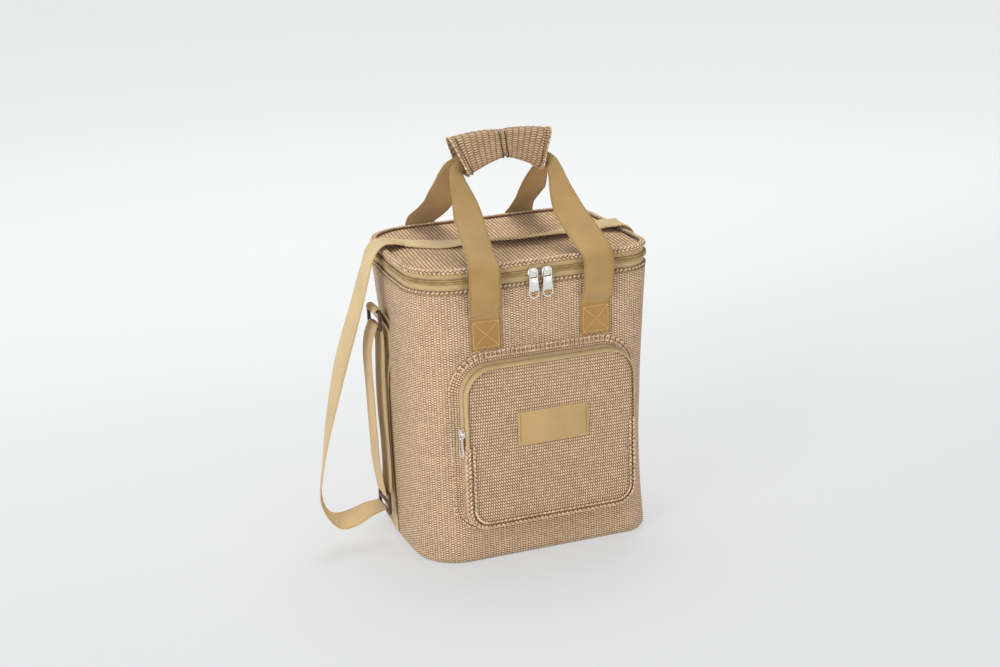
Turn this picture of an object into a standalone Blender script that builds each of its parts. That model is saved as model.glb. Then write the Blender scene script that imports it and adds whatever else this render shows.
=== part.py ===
"""Insulated lunch tote: a woven, foam-lined cooler bag with a zipped lid, two webbing handles joined
by a wrap grip, a zipped front pocket and a shoulder strap.

Metres, +Z up. The origin is the centre of the bottom face and the front looks along -Y.
"""
import math

import bmesh
import bpy
from mathutils import Matrix, Vector

MM = 0.001

# Layers and clearances
CLEARANCE = 0.3 * MM
MERGE_DISTANCE = 0.001 * MM
WEAVE = 1.5 * MM
TAPE = 1.0 * MM
FOAM = 5.0 * MM
FOIL = 0.8 * MM
BOARD = 2.0 * MM

# Bag body
BAG_WIDTH = 260 * MM
BAG_DEPTH = 200 * MM
CORNER_RADIUS = 35 * MM
BODY_HEIGHT = 290 * MM
HEM_RADIUS = 8 * MM
BRAID_HEIGHT = 4.2 * MM
BRAID_DEPTH = 2.4 * MM
CORNER_STEPS = 6
HEM_STEPS = 3

# Lid and its zip
ZIP_LINE = BODY_HEIGHT + 13.5 * MM
LID_PANEL_TOP = ZIP_LINE + 9 * MM
LID_FOAM_INSET = 5.0 * MM
LID_BRAID_WIDTH = 9 * MM
LID_BRAID_HEIGHT = 3.5 * MM
BRAID_PROUD = 0.6 * MM
COIL = 2.6 * MM
COIL_GAP = 1.8 * MM
TAPE_TUCK = 6 * MM
HINGE_STRIP_WIDTH = BAG_WIDTH - 2 * CORNER_RADIUS - 4 * MM

# Zip sliders and pulls
SLIDER_LENGTH = 11 * MM
SLIDER_HEIGHT = 9.2 * MM
SLIDER_AIR = 0.45 * MM
SLIDER_PLATE = 1.2 * MM
SLIDER_BACK = 1.0 * MM
SLIDER_POST = 1.2 * MM
SLIDER_FLANGE = 0.9 * MM
SLIDER_TAPER = 2.4 * MM
BAIL_RADIUS = 0.7 * MM
BAIL_REACH = 4.0 * MM
BAIL_SPAN = 4.6 * MM
BAIL_RISE = 1.5 * MM
PULL_LENGTH = 29 * MM
PULL_WIDTH = 9.4 * MM
PULL_NECK = 7.4 * MM
PULL_THICKNESS = 1.2 * MM
PULL_EYE = 4.4 * MM
PULL_RIM = 1.5 * MM
PULL_WINDOW = 5.6 * MM
SLIDER_APART = 15 * MM
SLIDER_CENTRE = -0.5 * MM

# Front pocket
POCKET_HALF_WIDTH = 92 * MM
POCKET_CENTRE = 2 * MM
POCKET_BOTTOM = 46 * MM
POCKET_TOP = 217 * MM
POCKET_LOW_RADIUS = 22 * MM
POCKET_HIGH_RADIUS = 30 * MM
POCKET_DEPTH = 19 * MM
POCKET_FLARE = 6 * MM
POCKET_FLARE_DEPTH = 6 * MM
POCKET_ZIP_DEPTH = 13.1 * MM
POCKET_FOLD = 127 * MM
POCKET_ZIP_END = 133 * MM
POCKET_STEPS = 5
POCKET_SLIDER_HEIGHT = 150 * MM
PATCH_WIDTH = 78 * MM
PATCH_HEIGHT = 36 * MM
PATCH_CENTRE = 2.5 * MM
PATCH_BOTTOM = 130 * MM

# Handle webbing
WEBBING = 2.0 * MM
WEBBING_WIDTH = 33 * MM
FOLDED_WIDTH = 13 * MM
FOLD_LOW = BODY_HEIGHT + 55 * MM
FOLD_HIGH = BODY_HEIGHT + 110 * MM
ANCHOR_SPREAD = 59.7 * MM
ANCHOR_LOW = BODY_HEIGHT - 59.5 * MM
ANCHOR_HIGH = BODY_HEIGHT - 28.2 * MM
LEG_FOOT = 4 * MM
LEG_MOUTH = 4 * MM
HANDLE_HINGE_HEIGHT = BODY_HEIGHT
HANDLE_HINGE_REACH = 8 * MM

# Grip
GRIP_HALF_LENGTH = 48 * MM
GRIP_END_HEIGHT = BODY_HEIGHT + 115 * MM
GRIP_ARCH = 10 * MM
GRIP_HALF_DEPTH = 19 * MM
GRIP_HALF_HEIGHT = 19.5 * MM
GRIP_PINCH = 5 * MM
GRIP_WALL = 3.4 * MM
GRIP_SPLIT = 0.2 * MM
GRIP_POWER = 2.6
GRIP_STEPS = 10
GRIP_SIDES = 9
WEB_RUN_SHARE = 0.92
WEB_DROP = 3.0 * MM
WEB_SAG = 5.0 * MM
WEB_REACH = 5.0 * MM

# Shoulder strap, its rings and its adjuster
STRAP = 1.6 * MM
STRAP_WIDTH = 30 * MM
RING_BAR = 2.0 * MM
RING_WIDTH = 39 * MM
RING_DROP = 18 * MM
RING_CORNER = 3 * MM
RING_REACH = 14 * MM
RING_TOP = BODY_HEIGHT - 33 * MM
STRIP_FOOT = 9 * MM
STRIP_SEWN = RING_TOP - 21 * MM
STRIP_TAIL = STRIP_SEWN - 22 * MM
STRIP_LEAVE_SHARE = 0.70
STRIP_RETURN_SHARE = 0.66
ADJUSTER_HEIGHT = 46 * MM
ADJUSTER_REACH = 13.5 * MM
ADJUSTER_WIDTH = 38 * MM
ADJUSTER_LENGTH = 24 * MM
ADJUSTER_THICKNESS = 3 * MM
ADJUSTER_RIM = 3.2 * MM
ADJUSTER_CORNER = 2.5 * MM
ROUTE_STEPS = 3

HALF_WIDTH = BAG_WIDTH / 2
HALF_DEPTH = BAG_DEPTH / 2
TAPE_OUTER = -WEAVE - CLEARANCE
TAPE_INNER = TAPE_OUTER - TAPE
FOAM_OUTER = TAPE_INNER - CLEARANCE
FOAM_INNER = FOAM_OUTER - FOAM
LINER_OUTER = FOAM_INNER - CLEARANCE
LINER_INNER = LINER_OUTER - FOIL
BOARD_BOTTOM = WEAVE + CLEARANCE
BASE_FOAM_BOTTOM = BOARD_BOTTOM + BOARD + CLEARANCE
LINER_BOTTOM = BASE_FOAM_BOTTOM + FOAM + CLEARANCE
COIL_CENTRE = TAPE_OUTER + CLEARANCE + COIL / 2
POCKET_PANEL = HALF_DEPTH + POCKET_DEPTH + CLEARANCE
POCKET_ZIP = HALF_DEPTH + POCKET_ZIP_DEPTH

parts = None
guides = None
finishes = {}

X_AXIS = Vector((1, 0, 0))
Y_AXIS = Vector((0, 1, 0))
Z_AXIS = Vector((0, 0, 1))


def start_scene():
    """Empties the scene and makes the two collections."""
    global parts, guides
    for thing in list(bpy.data.objects):
        bpy.data.objects.remove(thing, do_unlink=True)
    parts = bpy.data.collections.new("insulated_lunch_tote")
    guides = bpy.data.collections.new("cutters")
    for collection in (parts, guides):
        bpy.context.scene.collection.children.link(collection)


def finish(name, colour, roughness, metallic=0.0):
    """A Principled material with the finish seen on the bag."""
    material = bpy.data.materials.new(name)
    material.use_nodes = True
    shader = material.node_tree.nodes["Principled BSDF"]
    shader.inputs["Base Color"].default_value = (*colour, 1.0)
    shader.inputs["Roughness"].default_value = roughness
    shader.inputs["Metallic"].default_value = metallic
    finishes[name] = material


def make_finishes():
    """Linear colours of the straw weave, webbing, zips, metal and linings."""
    finish("straw_weave", (0.45, 0.31, 0.20), 0.85)
    finish("straw_braid", (0.47, 0.33, 0.21), 0.85)
    finish("handle_webbing", (0.44, 0.29, 0.12), 0.9)
    finish("strap_webbing", (0.62, 0.45, 0.23), 0.9)
    finish("zip_tape", (0.42, 0.29, 0.13), 0.9)
    finish("zip_coil", (0.26, 0.17, 0.08), 0.6)
    finish("bright_nickel", (0.80, 0.79, 0.76), 0.18, 1.0)
    finish("brown_plastic", (0.07, 0.025, 0.02), 0.4)
    finish("closed_cell_foam", (0.80, 0.80, 0.78), 0.9)
    finish("foil_liner", (0.72, 0.73, 0.74), 0.35, 0.6)
    finish("fibre_board", (0.20, 0.15, 0.10), 0.9)
    finish("canvas_patch", (0.55, 0.37, 0.17), 0.9)


def pivot(name, place):
    """An empty on a joint's axis, which carries the pieces that turn or slide with it."""
    empty = bpy.data.objects.new(name, None)
    empty.location = place
    parts.objects.link(empty)
    return empty


def node(name, data, finish_name, carrier=None, place=None):
    """Puts a mesh or curve into the parts collection under its carrier, at its place in the bag."""
    thing = bpy.data.objects.new(name, data)
    data.materials.append(finishes[finish_name])
    parts.objects.link(thing)
    if place:
        thing.matrix_world = place
    if carrier:
        thing.parent = carrier
        thing.location = thing.location - carrier.location
    return thing


def swept(name, frames, section, finish_name, carrier=None, ring=False, open_section=False):
    """A section carried along frames of (origin, out, up); what stays open at its ends is capped."""
    sections = section if callable(section) else lambda column: section
    rows = len(sections(0)) - (1 if open_section else 0)
    columns = len(frames) - (0 if ring else 1)
    shape = bmesh.new()
    bmesh.ops.create_grid(shape, x_segments=columns, y_segments=rows, size=1)
    for vert in shape.verts:
        column = round((vert.co.x + 1) / 2 * columns) % len(frames)
        row = round((vert.co.y + 1) / 2 * rows) % len(sections(column))
        origin, out, up = frames[column]
        out_by, up_by = sections(column)[row]
        vert.co = origin + out * out_by + up * up_by
    bmesh.ops.remove_doubles(shape, verts=shape.verts, dist=MERGE_DISTANCE)
    bmesh.ops.holes_fill(shape, edges=[edge for edge in shape.edges if edge.is_boundary], sides=0)
    bmesh.ops.recalc_face_normals(shape, faces=shape.faces)
    mesh = bpy.data.meshes.new(name)
    shape.to_mesh(mesh)
    shape.free()
    mesh.shade_smooth()
    mesh.set_sharp_from_angle(angle=math.radians(35))
    return node(name, mesh, finish_name, carrier)


def flat_curve(name, loops, thickness, edge=0.0):
    """A flat outline with holes, filled and thickened, its edges rounded by edge."""
    curve = bpy.data.curves.new(name, "CURVE")
    curve.dimensions = "2D"
    curve.fill_mode = "BOTH"
    curve.extrude = thickness / 2 - edge
    curve.bevel_depth = edge
    curve.bevel_resolution = 0
    curve.offset = -edge
    for loop in loops:
        spline = curve.splines.new("POLY")
        spline.points.add(len(loop) - 1)
        for point, (across, along) in zip(spline.points, loop):
            point.co = (across, along, 0, 1)
        spline.use_cyclic_u = True
    return curve


def wire_curve(name, points, radius, cyclic=False):
    """A round wire along points, with filled ends."""
    curve = bpy.data.curves.new(name, "CURVE")
    curve.dimensions = "3D"
    curve.bevel_depth = radius
    curve.bevel_resolution = 2
    curve.use_fill_caps = not cyclic
    spline = curve.splines.new("POLY")
    spline.points.add(len(points) - 1)
    for point, place in zip(spline.points, points):
        point.co = (*place, 1)
    spline.use_cyclic_u = cyclic
    return curve


def place_on(origin, across, along):
    """The matrix that lays a flat outline on a plane through origin."""
    across, along = Vector(across), Vector(along)
    turn = Matrix((across, along, across.cross(along))).transposed().to_4x4()
    return Matrix.Translation(origin) @ turn


def plan_place(height):
    """The horizontal plane at a height."""
    return place_on((0, 0, height), X_AXIS, Y_AXIS)


def front_place(depth):
    """The upright plane that faces the front, depth ahead of the bag's centre."""
    return place_on((0, -depth, 0), X_AXIS, Z_AXIS)


def solid_mesh(name, curve, place):
    """The closed mesh of a curve at its place, its caps welded on."""
    carrier = bpy.data.objects.new(name, curve)
    guides.objects.link(carrier)
    carrier.matrix_world = place
    bpy.context.view_layer.update()
    evaluated = carrier.evaluated_get(bpy.context.evaluated_depsgraph_get())
    mesh = bpy.data.meshes.new_from_object(evaluated)
    mesh.transform(place)
    shape = bmesh.new()
    shape.from_mesh(mesh)
    bmesh.ops.remove_doubles(shape, verts=shape.verts, dist=MERGE_DISTANCE)
    bmesh.ops.recalc_face_normals(shape, faces=shape.faces)
    shape.to_mesh(mesh)
    shape.free()
    bpy.data.objects.remove(carrier)
    return mesh


def joined(name, base, additions, keeps=()):
    """The union of a base mesh with its additions, cut to the outlines in keeps."""
    carrier = bpy.data.objects.new(name, base)
    guides.objects.link(carrier)
    tools = []
    for operation, meshes in (("UNION", additions), ("INTERSECT", keeps)):
        for mesh in meshes:
            tool = bpy.data.objects.new(name + "_tool", mesh)
            guides.objects.link(tool)
            tools.append(tool)
            boolean = carrier.modifiers.new(operation.lower(), "BOOLEAN")
            boolean.operation = operation
            boolean.solver = "EXACT"
            boolean.object = tool
    bpy.context.view_layer.update()
    evaluated = carrier.evaluated_get(bpy.context.evaluated_depsgraph_get())
    mesh = bpy.data.meshes.new_from_object(evaluated)
    for thing in (carrier, *tools):
        bpy.data.objects.remove(thing)
    mesh.materials.clear()
    return mesh


def rounded_loop(half_width, low, high, radius, steps=3):
    """The points of a rounded rectangle, anticlockwise from its top left corner."""
    return [point for point, normal in outline(half_width, low, high, radius, radius, steps)]


def outline(half_width, low, high, low_radius, high_radius, steps, first=0):
    """Point and outward normal pairs round a rounded rectangle, anticlockwise, corner by corner."""
    corners = [(-1, high, high_radius, 1), (-1, low, low_radius, 2), (1, low, low_radius, 3),
               (1, high, high_radius, 0)]
    pairs = []
    for side, edge, radius, quarter in corners[first:] + corners[:first]:
        centre = Vector((side * (half_width - radius), edge - radius if edge == high else edge + radius))
        for step in range(steps + 1):
            angle = math.pi / 2 * (quarter + step / steps)
            normal = Vector((math.cos(angle), math.sin(angle)))
            pairs.append((centre + normal * radius, normal))
    return pairs


def bag_outline():
    """The plan of the bag, whose first and last points are the ends of its straight rear run."""
    return outline(HALF_WIDTH, -HALF_DEPTH, HALF_DEPTH, CORNER_RADIUS, CORNER_RADIUS, CORNER_STEPS)


def bag_frames():
    """Upright frames round the bag; a section is given in distance out from the wall and in height."""
    return [(Vector((*point, 0)), Vector((*normal, 0)), Z_AXIS) for point, normal in bag_outline()]


def bag_plan(offset):
    """The bag's plan moved out by offset."""
    return [point + normal * offset for point, normal in bag_outline()]


def oval(out, up, half_out, half_up, sides=8):
    """An oval section about a centre."""
    turns = [2 * math.pi * (side + 0.5) / sides for side in range(sides)]
    return [(out + half_out * math.cos(turn), up + half_up * math.sin(turn)) for turn in turns]


def block(out_low, out_high, low, high):
    """A rectangular section."""
    return [(out_low, low), (out_high, low), (out_high, high), (out_low, high)]


def smooth_route(points, steps=ROUTE_STEPS):
    """A smooth curve through the points of a route, with steps to each stretch."""
    padded = [points[0] * 2 - points[1], *points, points[-1] * 2 - points[-2]]
    route = []
    for index in range(1, len(padded) - 2):
        before, start, end, after = padded[index - 1:index + 3]
        for step in range(steps):
            part = step / steps
            route.append(0.5 * (2 * start + (end - before) * part
                                + (2 * before - 5 * start + 4 * end - after) * part ** 2
                                + (3 * start - before - 3 * end + after) * part ** 3))
    return route + [points[-1]]


def ease(share):
    """A smooth step from 0 to 1."""
    share = min(max(share, 0.0), 1.0)
    return share * share * (3 - 2 * share)


def ribbon_frames(points, across):
    """Frames along a ribbon: out is its flat's normal and up runs across its width."""
    frames = []
    for index, point in enumerate(points):
        ahead = points[min(index + 1, len(points) - 1)]
        behind = points[max(index - 1, 0)]
        tangent = (ahead - behind).normalized()
        width = Vector(across[index])
        width = (width - tangent * width.dot(tangent)).normalized()
        frames.append((point, tangent.cross(width).normalized(), width))
    return frames


def ribbon(name, points, across, sizes, carrier):
    """Handle webbing along points, its width along across and its thickness and width from sizes."""
    def section(column):
        thickness, width = sizes[column]
        return block(-thickness / 2, thickness / 2, -width / 2, width / 2)
    swept(name, ribbon_frames(points, across), section, "handle_webbing", carrier)


def strap_frames(points, across):
    """Frames along a shoulder strap through points, its width direction eased between them."""
    route = smooth_route(points)
    spans = len(points) - 1
    turned = []
    for index in range(len(route)):
        at = index / (len(route) - 1) * spans
        low = min(int(at), spans - 1)
        turned.append(Vector(across[low]).lerp(Vector(across[low + 1]), at - low))
    return ribbon_frames(route, turned)


def lay(name, frames, carrier=None):
    """A stretch of shoulder strap along its frames, drawn in at both ends by half a clearance."""
    stretch = list(frames)
    for end, inner in ((0, 1), (-1, -2)):
        origin, out, up = frames[end]
        inward = (frames[inner][0] - origin).normalized()
        stretch[end] = (origin + inward * CLEARANCE / 2, out, up)
    half = STRAP_WIDTH / 2
    swept(name, stretch, block(-STRAP / 2, STRAP / 2, -half, half), "strap_webbing", carrier)


def make_body():
    """Woven wall and base, board, foam, foil liner, and the braid that closes the top seam."""
    frames = bag_frames()
    hem = [math.pi / 2 * step / HEM_STEPS for step in range(HEM_STEPS + 1)]
    bend = HEM_RADIUS - WEAVE
    outside = [(-HEM_RADIUS + HEM_RADIUS * math.cos(turn), HEM_RADIUS - HEM_RADIUS * math.sin(turn))
               for turn in hem]
    inside = [(-HEM_RADIUS + bend * math.cos(turn), HEM_RADIUS - bend * math.sin(turn)) for turn in hem]
    wall = [(0, BODY_HEIGHT), *outside, *reversed(inside), (-WEAVE, BODY_HEIGHT)]
    swept("outer_shell", frames, wall, "straw_weave", ring=True)
    base = flat_curve("base_panel", [bag_plan(-HEM_RADIUS - CLEARANCE)], WEAVE)
    node("base_panel", base, "straw_weave", place=plan_place(WEAVE / 2))
    board = flat_curve("base_board", [bag_plan(-HEM_RADIUS - CLEARANCE)], BOARD)
    node("base_board", board, "fibre_board", place=plan_place(BOARD_BOTTOM + BOARD / 2))
    slab = flat_curve("base_foam", [bag_plan(FOAM_OUTER - CLEARANCE)], FOAM)
    node("base_foam", slab, "closed_cell_foam", place=plan_place(BASE_FOAM_BOTTOM + FOAM / 2))
    foam_top = BODY_HEIGHT - FOIL - CLEARANCE
    foam = block(FOAM_INNER, FOAM_OUTER, LINER_BOTTOM, foam_top)
    swept("wall_foam", frames, foam, "closed_cell_foam", ring=True)
    liner = [(LINER_OUTER, LINER_BOTTOM), (LINER_OUTER, foam_top + CLEARANCE),
             (FOAM_OUTER, foam_top + CLEARANCE), (FOAM_OUTER, BODY_HEIGHT), (LINER_INNER, BODY_HEIGHT),
             (LINER_INNER, LINER_BOTTOM + FOIL)]
    swept("foil_liner", frames, liner, "foil_liner", ring=True, open_section=True)
    braid_out = BRAID_PROUD - BRAID_DEPTH / 2
    braid = oval(braid_out, BODY_HEIGHT + CLEARANCE + BRAID_HEIGHT / 2, BRAID_DEPTH / 2, BRAID_HEIGHT / 2)
    swept("body_braid", frames, braid, "straw_braid", ring=True)


def make_zip_and_lid(lid):
    """The two halves of the lid's zip, the rear hinge strip, and the lid's panel, foam and lining."""
    frames = bag_frames()
    low_edge = ZIP_LINE - COIL_GAP / 2
    high_edge = ZIP_LINE + COIL_GAP / 2
    low_tape = block(TAPE_INNER, TAPE_OUTER, BODY_HEIGHT - TAPE_TUCK, low_edge - COIL / 3)
    swept("lower_zip_tape", frames, low_tape, "zip_tape", ring=True)
    low_coil = oval(COIL_CENTRE, low_edge - COIL / 2, COIL / 2, COIL / 2)
    swept("lower_zip_coil", frames, low_coil, "zip_coil")
    panel_bottom = LID_PANEL_TOP - WEAVE
    high_tape = block(TAPE_INNER, TAPE_OUTER, high_edge + COIL / 3, panel_bottom - CLEARANCE)
    swept("upper_zip_tape", frames, high_tape, "zip_tape", lid, ring=True)
    high_coil = oval(COIL_CENTRE, high_edge + COIL / 2, COIL / 2, COIL / 2)
    swept("upper_zip_coil", frames, high_coil, "zip_coil", lid)
    strip_low = BODY_HEIGHT + BRAID_HEIGHT + 2 * CLEARANCE
    strip = block(TAPE_OUTER + CLEARANCE, TAPE_OUTER + CLEARANCE + TAPE, -HINGE_STRIP_WIDTH / 2,
                  HINGE_STRIP_WIDTH / 2)
    span = panel_bottom - CLEARANCE - strip_low
    heights = [strip_low, strip_low + span / 2, strip_low + span]
    upright = [(Vector((0, HALF_DEPTH, height)), Y_AXIS, X_AXIS) for height in heights]
    swept("hinge_strip", upright, strip, "straw_weave")
    panel = flat_curve("lid_panel", [bag_plan(0)], WEAVE)
    node("lid_panel", panel, "straw_weave", lid, plan_place(LID_PANEL_TOP - WEAVE / 2))
    foam_top = panel_bottom - CLEARANCE
    foam = flat_curve("lid_foam", [bag_plan(-LID_FOAM_INSET)], FOAM)
    node("lid_foam", foam, "closed_cell_foam", lid, plan_place(foam_top - FOAM / 2))
    liner_top = foam_top - FOAM - CLEARANCE
    lining = flat_curve("lid_liner", [bag_plan(-LID_FOAM_INSET)], FOIL)
    node("lid_liner", lining, "foil_liner", lid, plan_place(liner_top - FOIL / 2))
    braid = oval(BRAID_PROUD - LID_BRAID_WIDTH / 2, LID_PANEL_TOP + CLEARANCE + LID_BRAID_HEIGHT / 2,
                 LID_BRAID_WIDTH / 2, LID_BRAID_HEIGHT / 2, 10)
    swept("lid_braid", frames, braid, "straw_braid", lid, ring=True)


def slider_mesh(name, bail_turn):
    """A zip slider in its own frame: X along the zip, -Y out of it, +Z to the half that lifts off."""
    front_in = -COIL / 2 - SLIDER_AIR
    front_out = front_in - SLIDER_PLATE
    back_in = COIL / 2 + 3 * CLEARANCE + TAPE
    half = SLIDER_HEIGHT / 2
    flange_in = COIL / 2 - CLEARANCE
    post = SLIDER_POST / 2
    profile = [(front_out, -half), (flange_in, -half), (flange_in, -half + SLIDER_FLANGE),
               (front_in, -half + SLIDER_FLANGE), (front_in, -post), (back_in, -post),
               (back_in, -half + SLIDER_FLANGE), (back_in + SLIDER_BACK, -half + SLIDER_FLANGE),
               (back_in + SLIDER_BACK, half - SLIDER_FLANGE), (back_in, half - SLIDER_FLANGE),
               (back_in, post), (front_in, post), (front_in, half), (front_out, half)]
    body = solid_mesh(name, flat_curve(name, [profile], SLIDER_LENGTH), place_on((0, 0, 0), Y_AXIS, Z_AXIS))
    end = SLIDER_LENGTH / 2
    nose = half - SLIDER_TAPER
    shield = [(-end, -half), (end - SLIDER_TAPER, -half), (end, -nose), (end, nose),
              (end - SLIDER_TAPER, half), (-end + SLIDER_TAPER, half), (-end, nose)]
    depth = 4 * SLIDER_HEIGHT
    upright = place_on((0, 0, 0), X_AXIS, Z_AXIS)
    keep = solid_mesh(name + "_shield", flat_curve(name, [shield], depth), upright)
    turns = [math.pi * step / 8 for step in range(9)]
    arch = [(0, front_in - SLIDER_PLATE / 2 - BAIL_REACH * math.sin(turn),
             BAIL_RISE + BAIL_SPAN / 2 * math.cos(turn)) for turn in turns]
    bail = solid_mesh(name + "_bail", wire_curve(name, arch, BAIL_RADIUS), Matrix.Rotation(bail_turn, 4, "Y"))
    return joined(name, body, [bail], [keep])


def pull_reach():
    """Distance out from the coil's centre of the line that a pull turns on."""
    return COIL / 2 + SLIDER_AIR + SLIDER_PLATE + CLEARANCE + PULL_THICKNESS


def pull_curve(name):
    """A flat pull tab hanging down from its bar at the origin, with its eye and its window."""
    top = PULL_RIM / 2
    neck, half = PULL_NECK / 2, PULL_WIDTH / 2
    foot = top - PULL_LENGTH
    low_turns = [math.pi * (1 + step / 8) for step in range(9)]
    shoulder = neck - PULL_RIM
    high_turns = [math.pi / 2 * step / 3 for step in range(4)]
    head = [(shoulder + PULL_RIM * math.cos(turn), top - PULL_RIM + PULL_RIM * math.sin(turn))
            for turn in high_turns]
    body = [(half * math.cos(turn), foot + half + half * math.sin(turn)) for turn in low_turns]
    edge = [*head, *[(-x, y) for x, y in reversed(head)], *body]
    eye_centre = -PULL_RIM / 2 - PULL_EYE / 2
    around = [2 * math.pi * step / 12 for step in range(12)]
    eye = [(PULL_EYE / 2 * math.cos(turn), eye_centre + PULL_EYE / 2 * math.sin(turn)) for turn in around]
    window = [(PULL_WINDOW / 2 * math.cos(turn), foot + half + PULL_WINDOW / 2 * math.sin(turn))
              for turn in around]
    return flat_curve(name, [edge, eye, window], PULL_THICKNESS, PULL_THICKNESS / 5)


def make_lid_sliders():
    """Two sliders head to head on the straight front of the lid's zip, each with its pull."""
    for side, name in ((-1, "left"), (1, "right")):
        place = Vector((SLIDER_CENTRE + side * SLIDER_APART / 2, -HALF_DEPTH - COIL_CENTRE, ZIP_LINE))
        slide = pivot(name + "_slider_slide", place)
        mesh = slider_mesh(name + "_slider", 0.0)
        if side < 0:
            mesh.transform(Matrix.Scale(-1, 4, X_AXIS))
            mesh.flip_normals()
        node(name + "_slider", mesh, "bright_nickel", slide, Matrix.Translation(place))
        axis = place + Vector((0, -pull_reach(), BAIL_RISE))
        swing = pivot(name + "_pull_hinge", axis)
        hanging = place_on(axis, X_AXIS, Z_AXIS)
        node(name + "_pull", pull_curve(name + "_pull"), "bright_nickel", swing, hanging)


def pocket_outline(first=0):
    """The pocket's front outline; first picks the corner that it starts from."""
    pairs = outline(POCKET_HALF_WIDTH, POCKET_BOTTOM, POCKET_TOP, POCKET_LOW_RADIUS, POCKET_HIGH_RADIUS,
                    POCKET_STEPS, first)
    return [(point + Vector((POCKET_CENTRE, 0)), normal) for point, normal in pairs]


def side_pair(side, height):
    """A point of the pocket's straight side, with its normal."""
    return Vector((POCKET_CENTRE + side * POCKET_HALF_WIDTH, height)), Vector((side, 0))


def pocket_frames(pairs):
    """Frames round the pocket; a section is in distance out from its wall and distance ahead."""
    return [(Vector((point.x, 0, point.y)), Vector((normal.x, 0, normal.y)), -Y_AXIS)
            for point, normal in pairs]


def make_pocket(flap):
    """Gusset, lower panel, zipped upper flap, the two halves of the zip and the bare patch."""
    corners = pocket_outline(1)
    quarter = POCKET_STEPS + 1
    low_run = [side_pair(-1, POCKET_FOLD), *corners[:2 * quarter], side_pair(1, POCKET_FOLD)]
    high_run = [side_pair(1, POCKET_FOLD), *corners[2 * quarter:], side_pair(-1, POCKET_FOLD)]
    back = HALF_DEPTH + CLEARANCE
    straight = HALF_DEPTH + POCKET_FLARE_DEPTH
    low_front = HALF_DEPTH + POCKET_DEPTH
    high_front = POCKET_ZIP - SLIDER_HEIGHT / 2 - CLEARANCE

    def gusset(column):
        front = low_front if column < len(low_run) else high_front
        return [(POCKET_FLARE, back), (0, straight), (0, front), (-WEAVE, front), (-WEAVE, straight),
                (POCKET_FLARE - WEAVE, back)]
    swept("pocket_gusset", pocket_frames(low_run + high_run), gusset, "straw_weave", ring=True)

    edge = CLEARANCE / 2
    low_loop = [point for point, normal in low_run]
    low_loop[0].y -= edge
    low_loop[-1].y -= edge
    panel = flat_curve("pocket_panel", [low_loop], WEAVE)
    node("pocket_panel", panel, "straw_weave", place=front_place(POCKET_PANEL + WEAVE / 2))
    high_loop = [point for point, normal in high_run]
    high_loop[0] = high_loop[0] + Vector((0, edge))
    high_loop[-1] = high_loop[-1] + Vector((0, edge))
    cover = flat_curve("pocket_flap", [high_loop], WEAVE)
    node("pocket_flap", cover, "straw_weave", flap, front_place(POCKET_PANEL + WEAVE / 2))

    zip_run = [side_pair(1, POCKET_ZIP_END), *corners[2 * quarter:], side_pair(-1, POCKET_ZIP_END)]
    frames = pocket_frames(zip_run)
    low_coil = POCKET_ZIP - COIL_GAP / 2 - COIL / 2
    high_coil = POCKET_ZIP + COIL_GAP / 2 + COIL / 2
    fixed_tape = block(TAPE_INNER, TAPE_OUTER, straight, low_coil + COIL / 6)
    swept("pocket_rear_tape", frames, fixed_tape, "zip_tape")
    swept("pocket_rear_coil", frames, oval(COIL_CENTRE, low_coil, COIL / 2, COIL / 2, 6), "zip_coil")
    moving_tape = block(TAPE_INNER, TAPE_OUTER, high_coil - COIL / 6, low_front)
    swept("pocket_flap_tape", frames, moving_tape, "zip_tape", flap)
    moving_coil = oval(COIL_CENTRE, high_coil, COIL / 2, COIL / 2, 6)
    swept("pocket_flap_coil", frames, moving_coil, "zip_coil", flap)

    patch = rounded_loop(PATCH_WIDTH / 2, PATCH_BOTTOM, PATCH_BOTTOM + PATCH_HEIGHT, WEAVE, 1)
    patch = [point + Vector((PATCH_CENTRE, 0)) for point in patch]
    patch_depth = POCKET_PANEL + WEAVE + CLEARANCE + TAPE / 2
    node("pocket_patch", flat_curve("pocket_patch", [patch], TAPE), "canvas_patch", flap,
         front_place(patch_depth))


def make_pocket_slider():
    """The pocket's slider on the straight left side of its zip, with its pull hanging down."""
    place = Vector((POCKET_CENTRE - POCKET_HALF_WIDTH - COIL_CENTRE, -POCKET_ZIP, POCKET_SLIDER_HEIGHT))
    slide = pivot("pocket_slider_slide", place)
    turn = Matrix((-Z_AXIS, X_AXIS, -Y_AXIS)).transposed().to_4x4()
    mesh = slider_mesh("pocket_slider", -math.pi / 2)
    node("pocket_slider", mesh, "bright_nickel", slide, Matrix.Translation(place) @ turn)
    axis = place + Vector((-pull_reach(), 0, BAIL_RISE))
    swing = pivot("pocket_pull_hinge", axis)
    node("pocket_pull", pull_curve("pocket_pull"), "bright_nickel", swing, place_on(axis, -Y_AXIS, Z_AXIS))


def grip_line(across):
    """A point on the grip's arched centre line, and its upward normal."""
    share = across / GRIP_HALF_LENGTH
    slope = -2 * GRIP_ARCH * share / GRIP_HALF_LENGTH
    point = Vector((across, 0, GRIP_END_HEIGHT + GRIP_ARCH * (1 - share * share)))
    return point, Vector((-slope, 0, 1)).normalized()


def web_line():
    """The line of the rear handle's folded web through the grip, and the grip's normals along it."""
    places = []
    normals = []
    for step in range(GRIP_STEPS + 1):
        share = WEB_RUN_SHARE * (2 * step / GRIP_STEPS - 1)
        point, normal = grip_line(GRIP_HALF_LENGTH * share)
        places.append(point - normal * (WEB_DROP + WEB_SAG * share * share) + Y_AXIS * WEB_REACH)
        normals.append(normal)
    return places, normals


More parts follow.
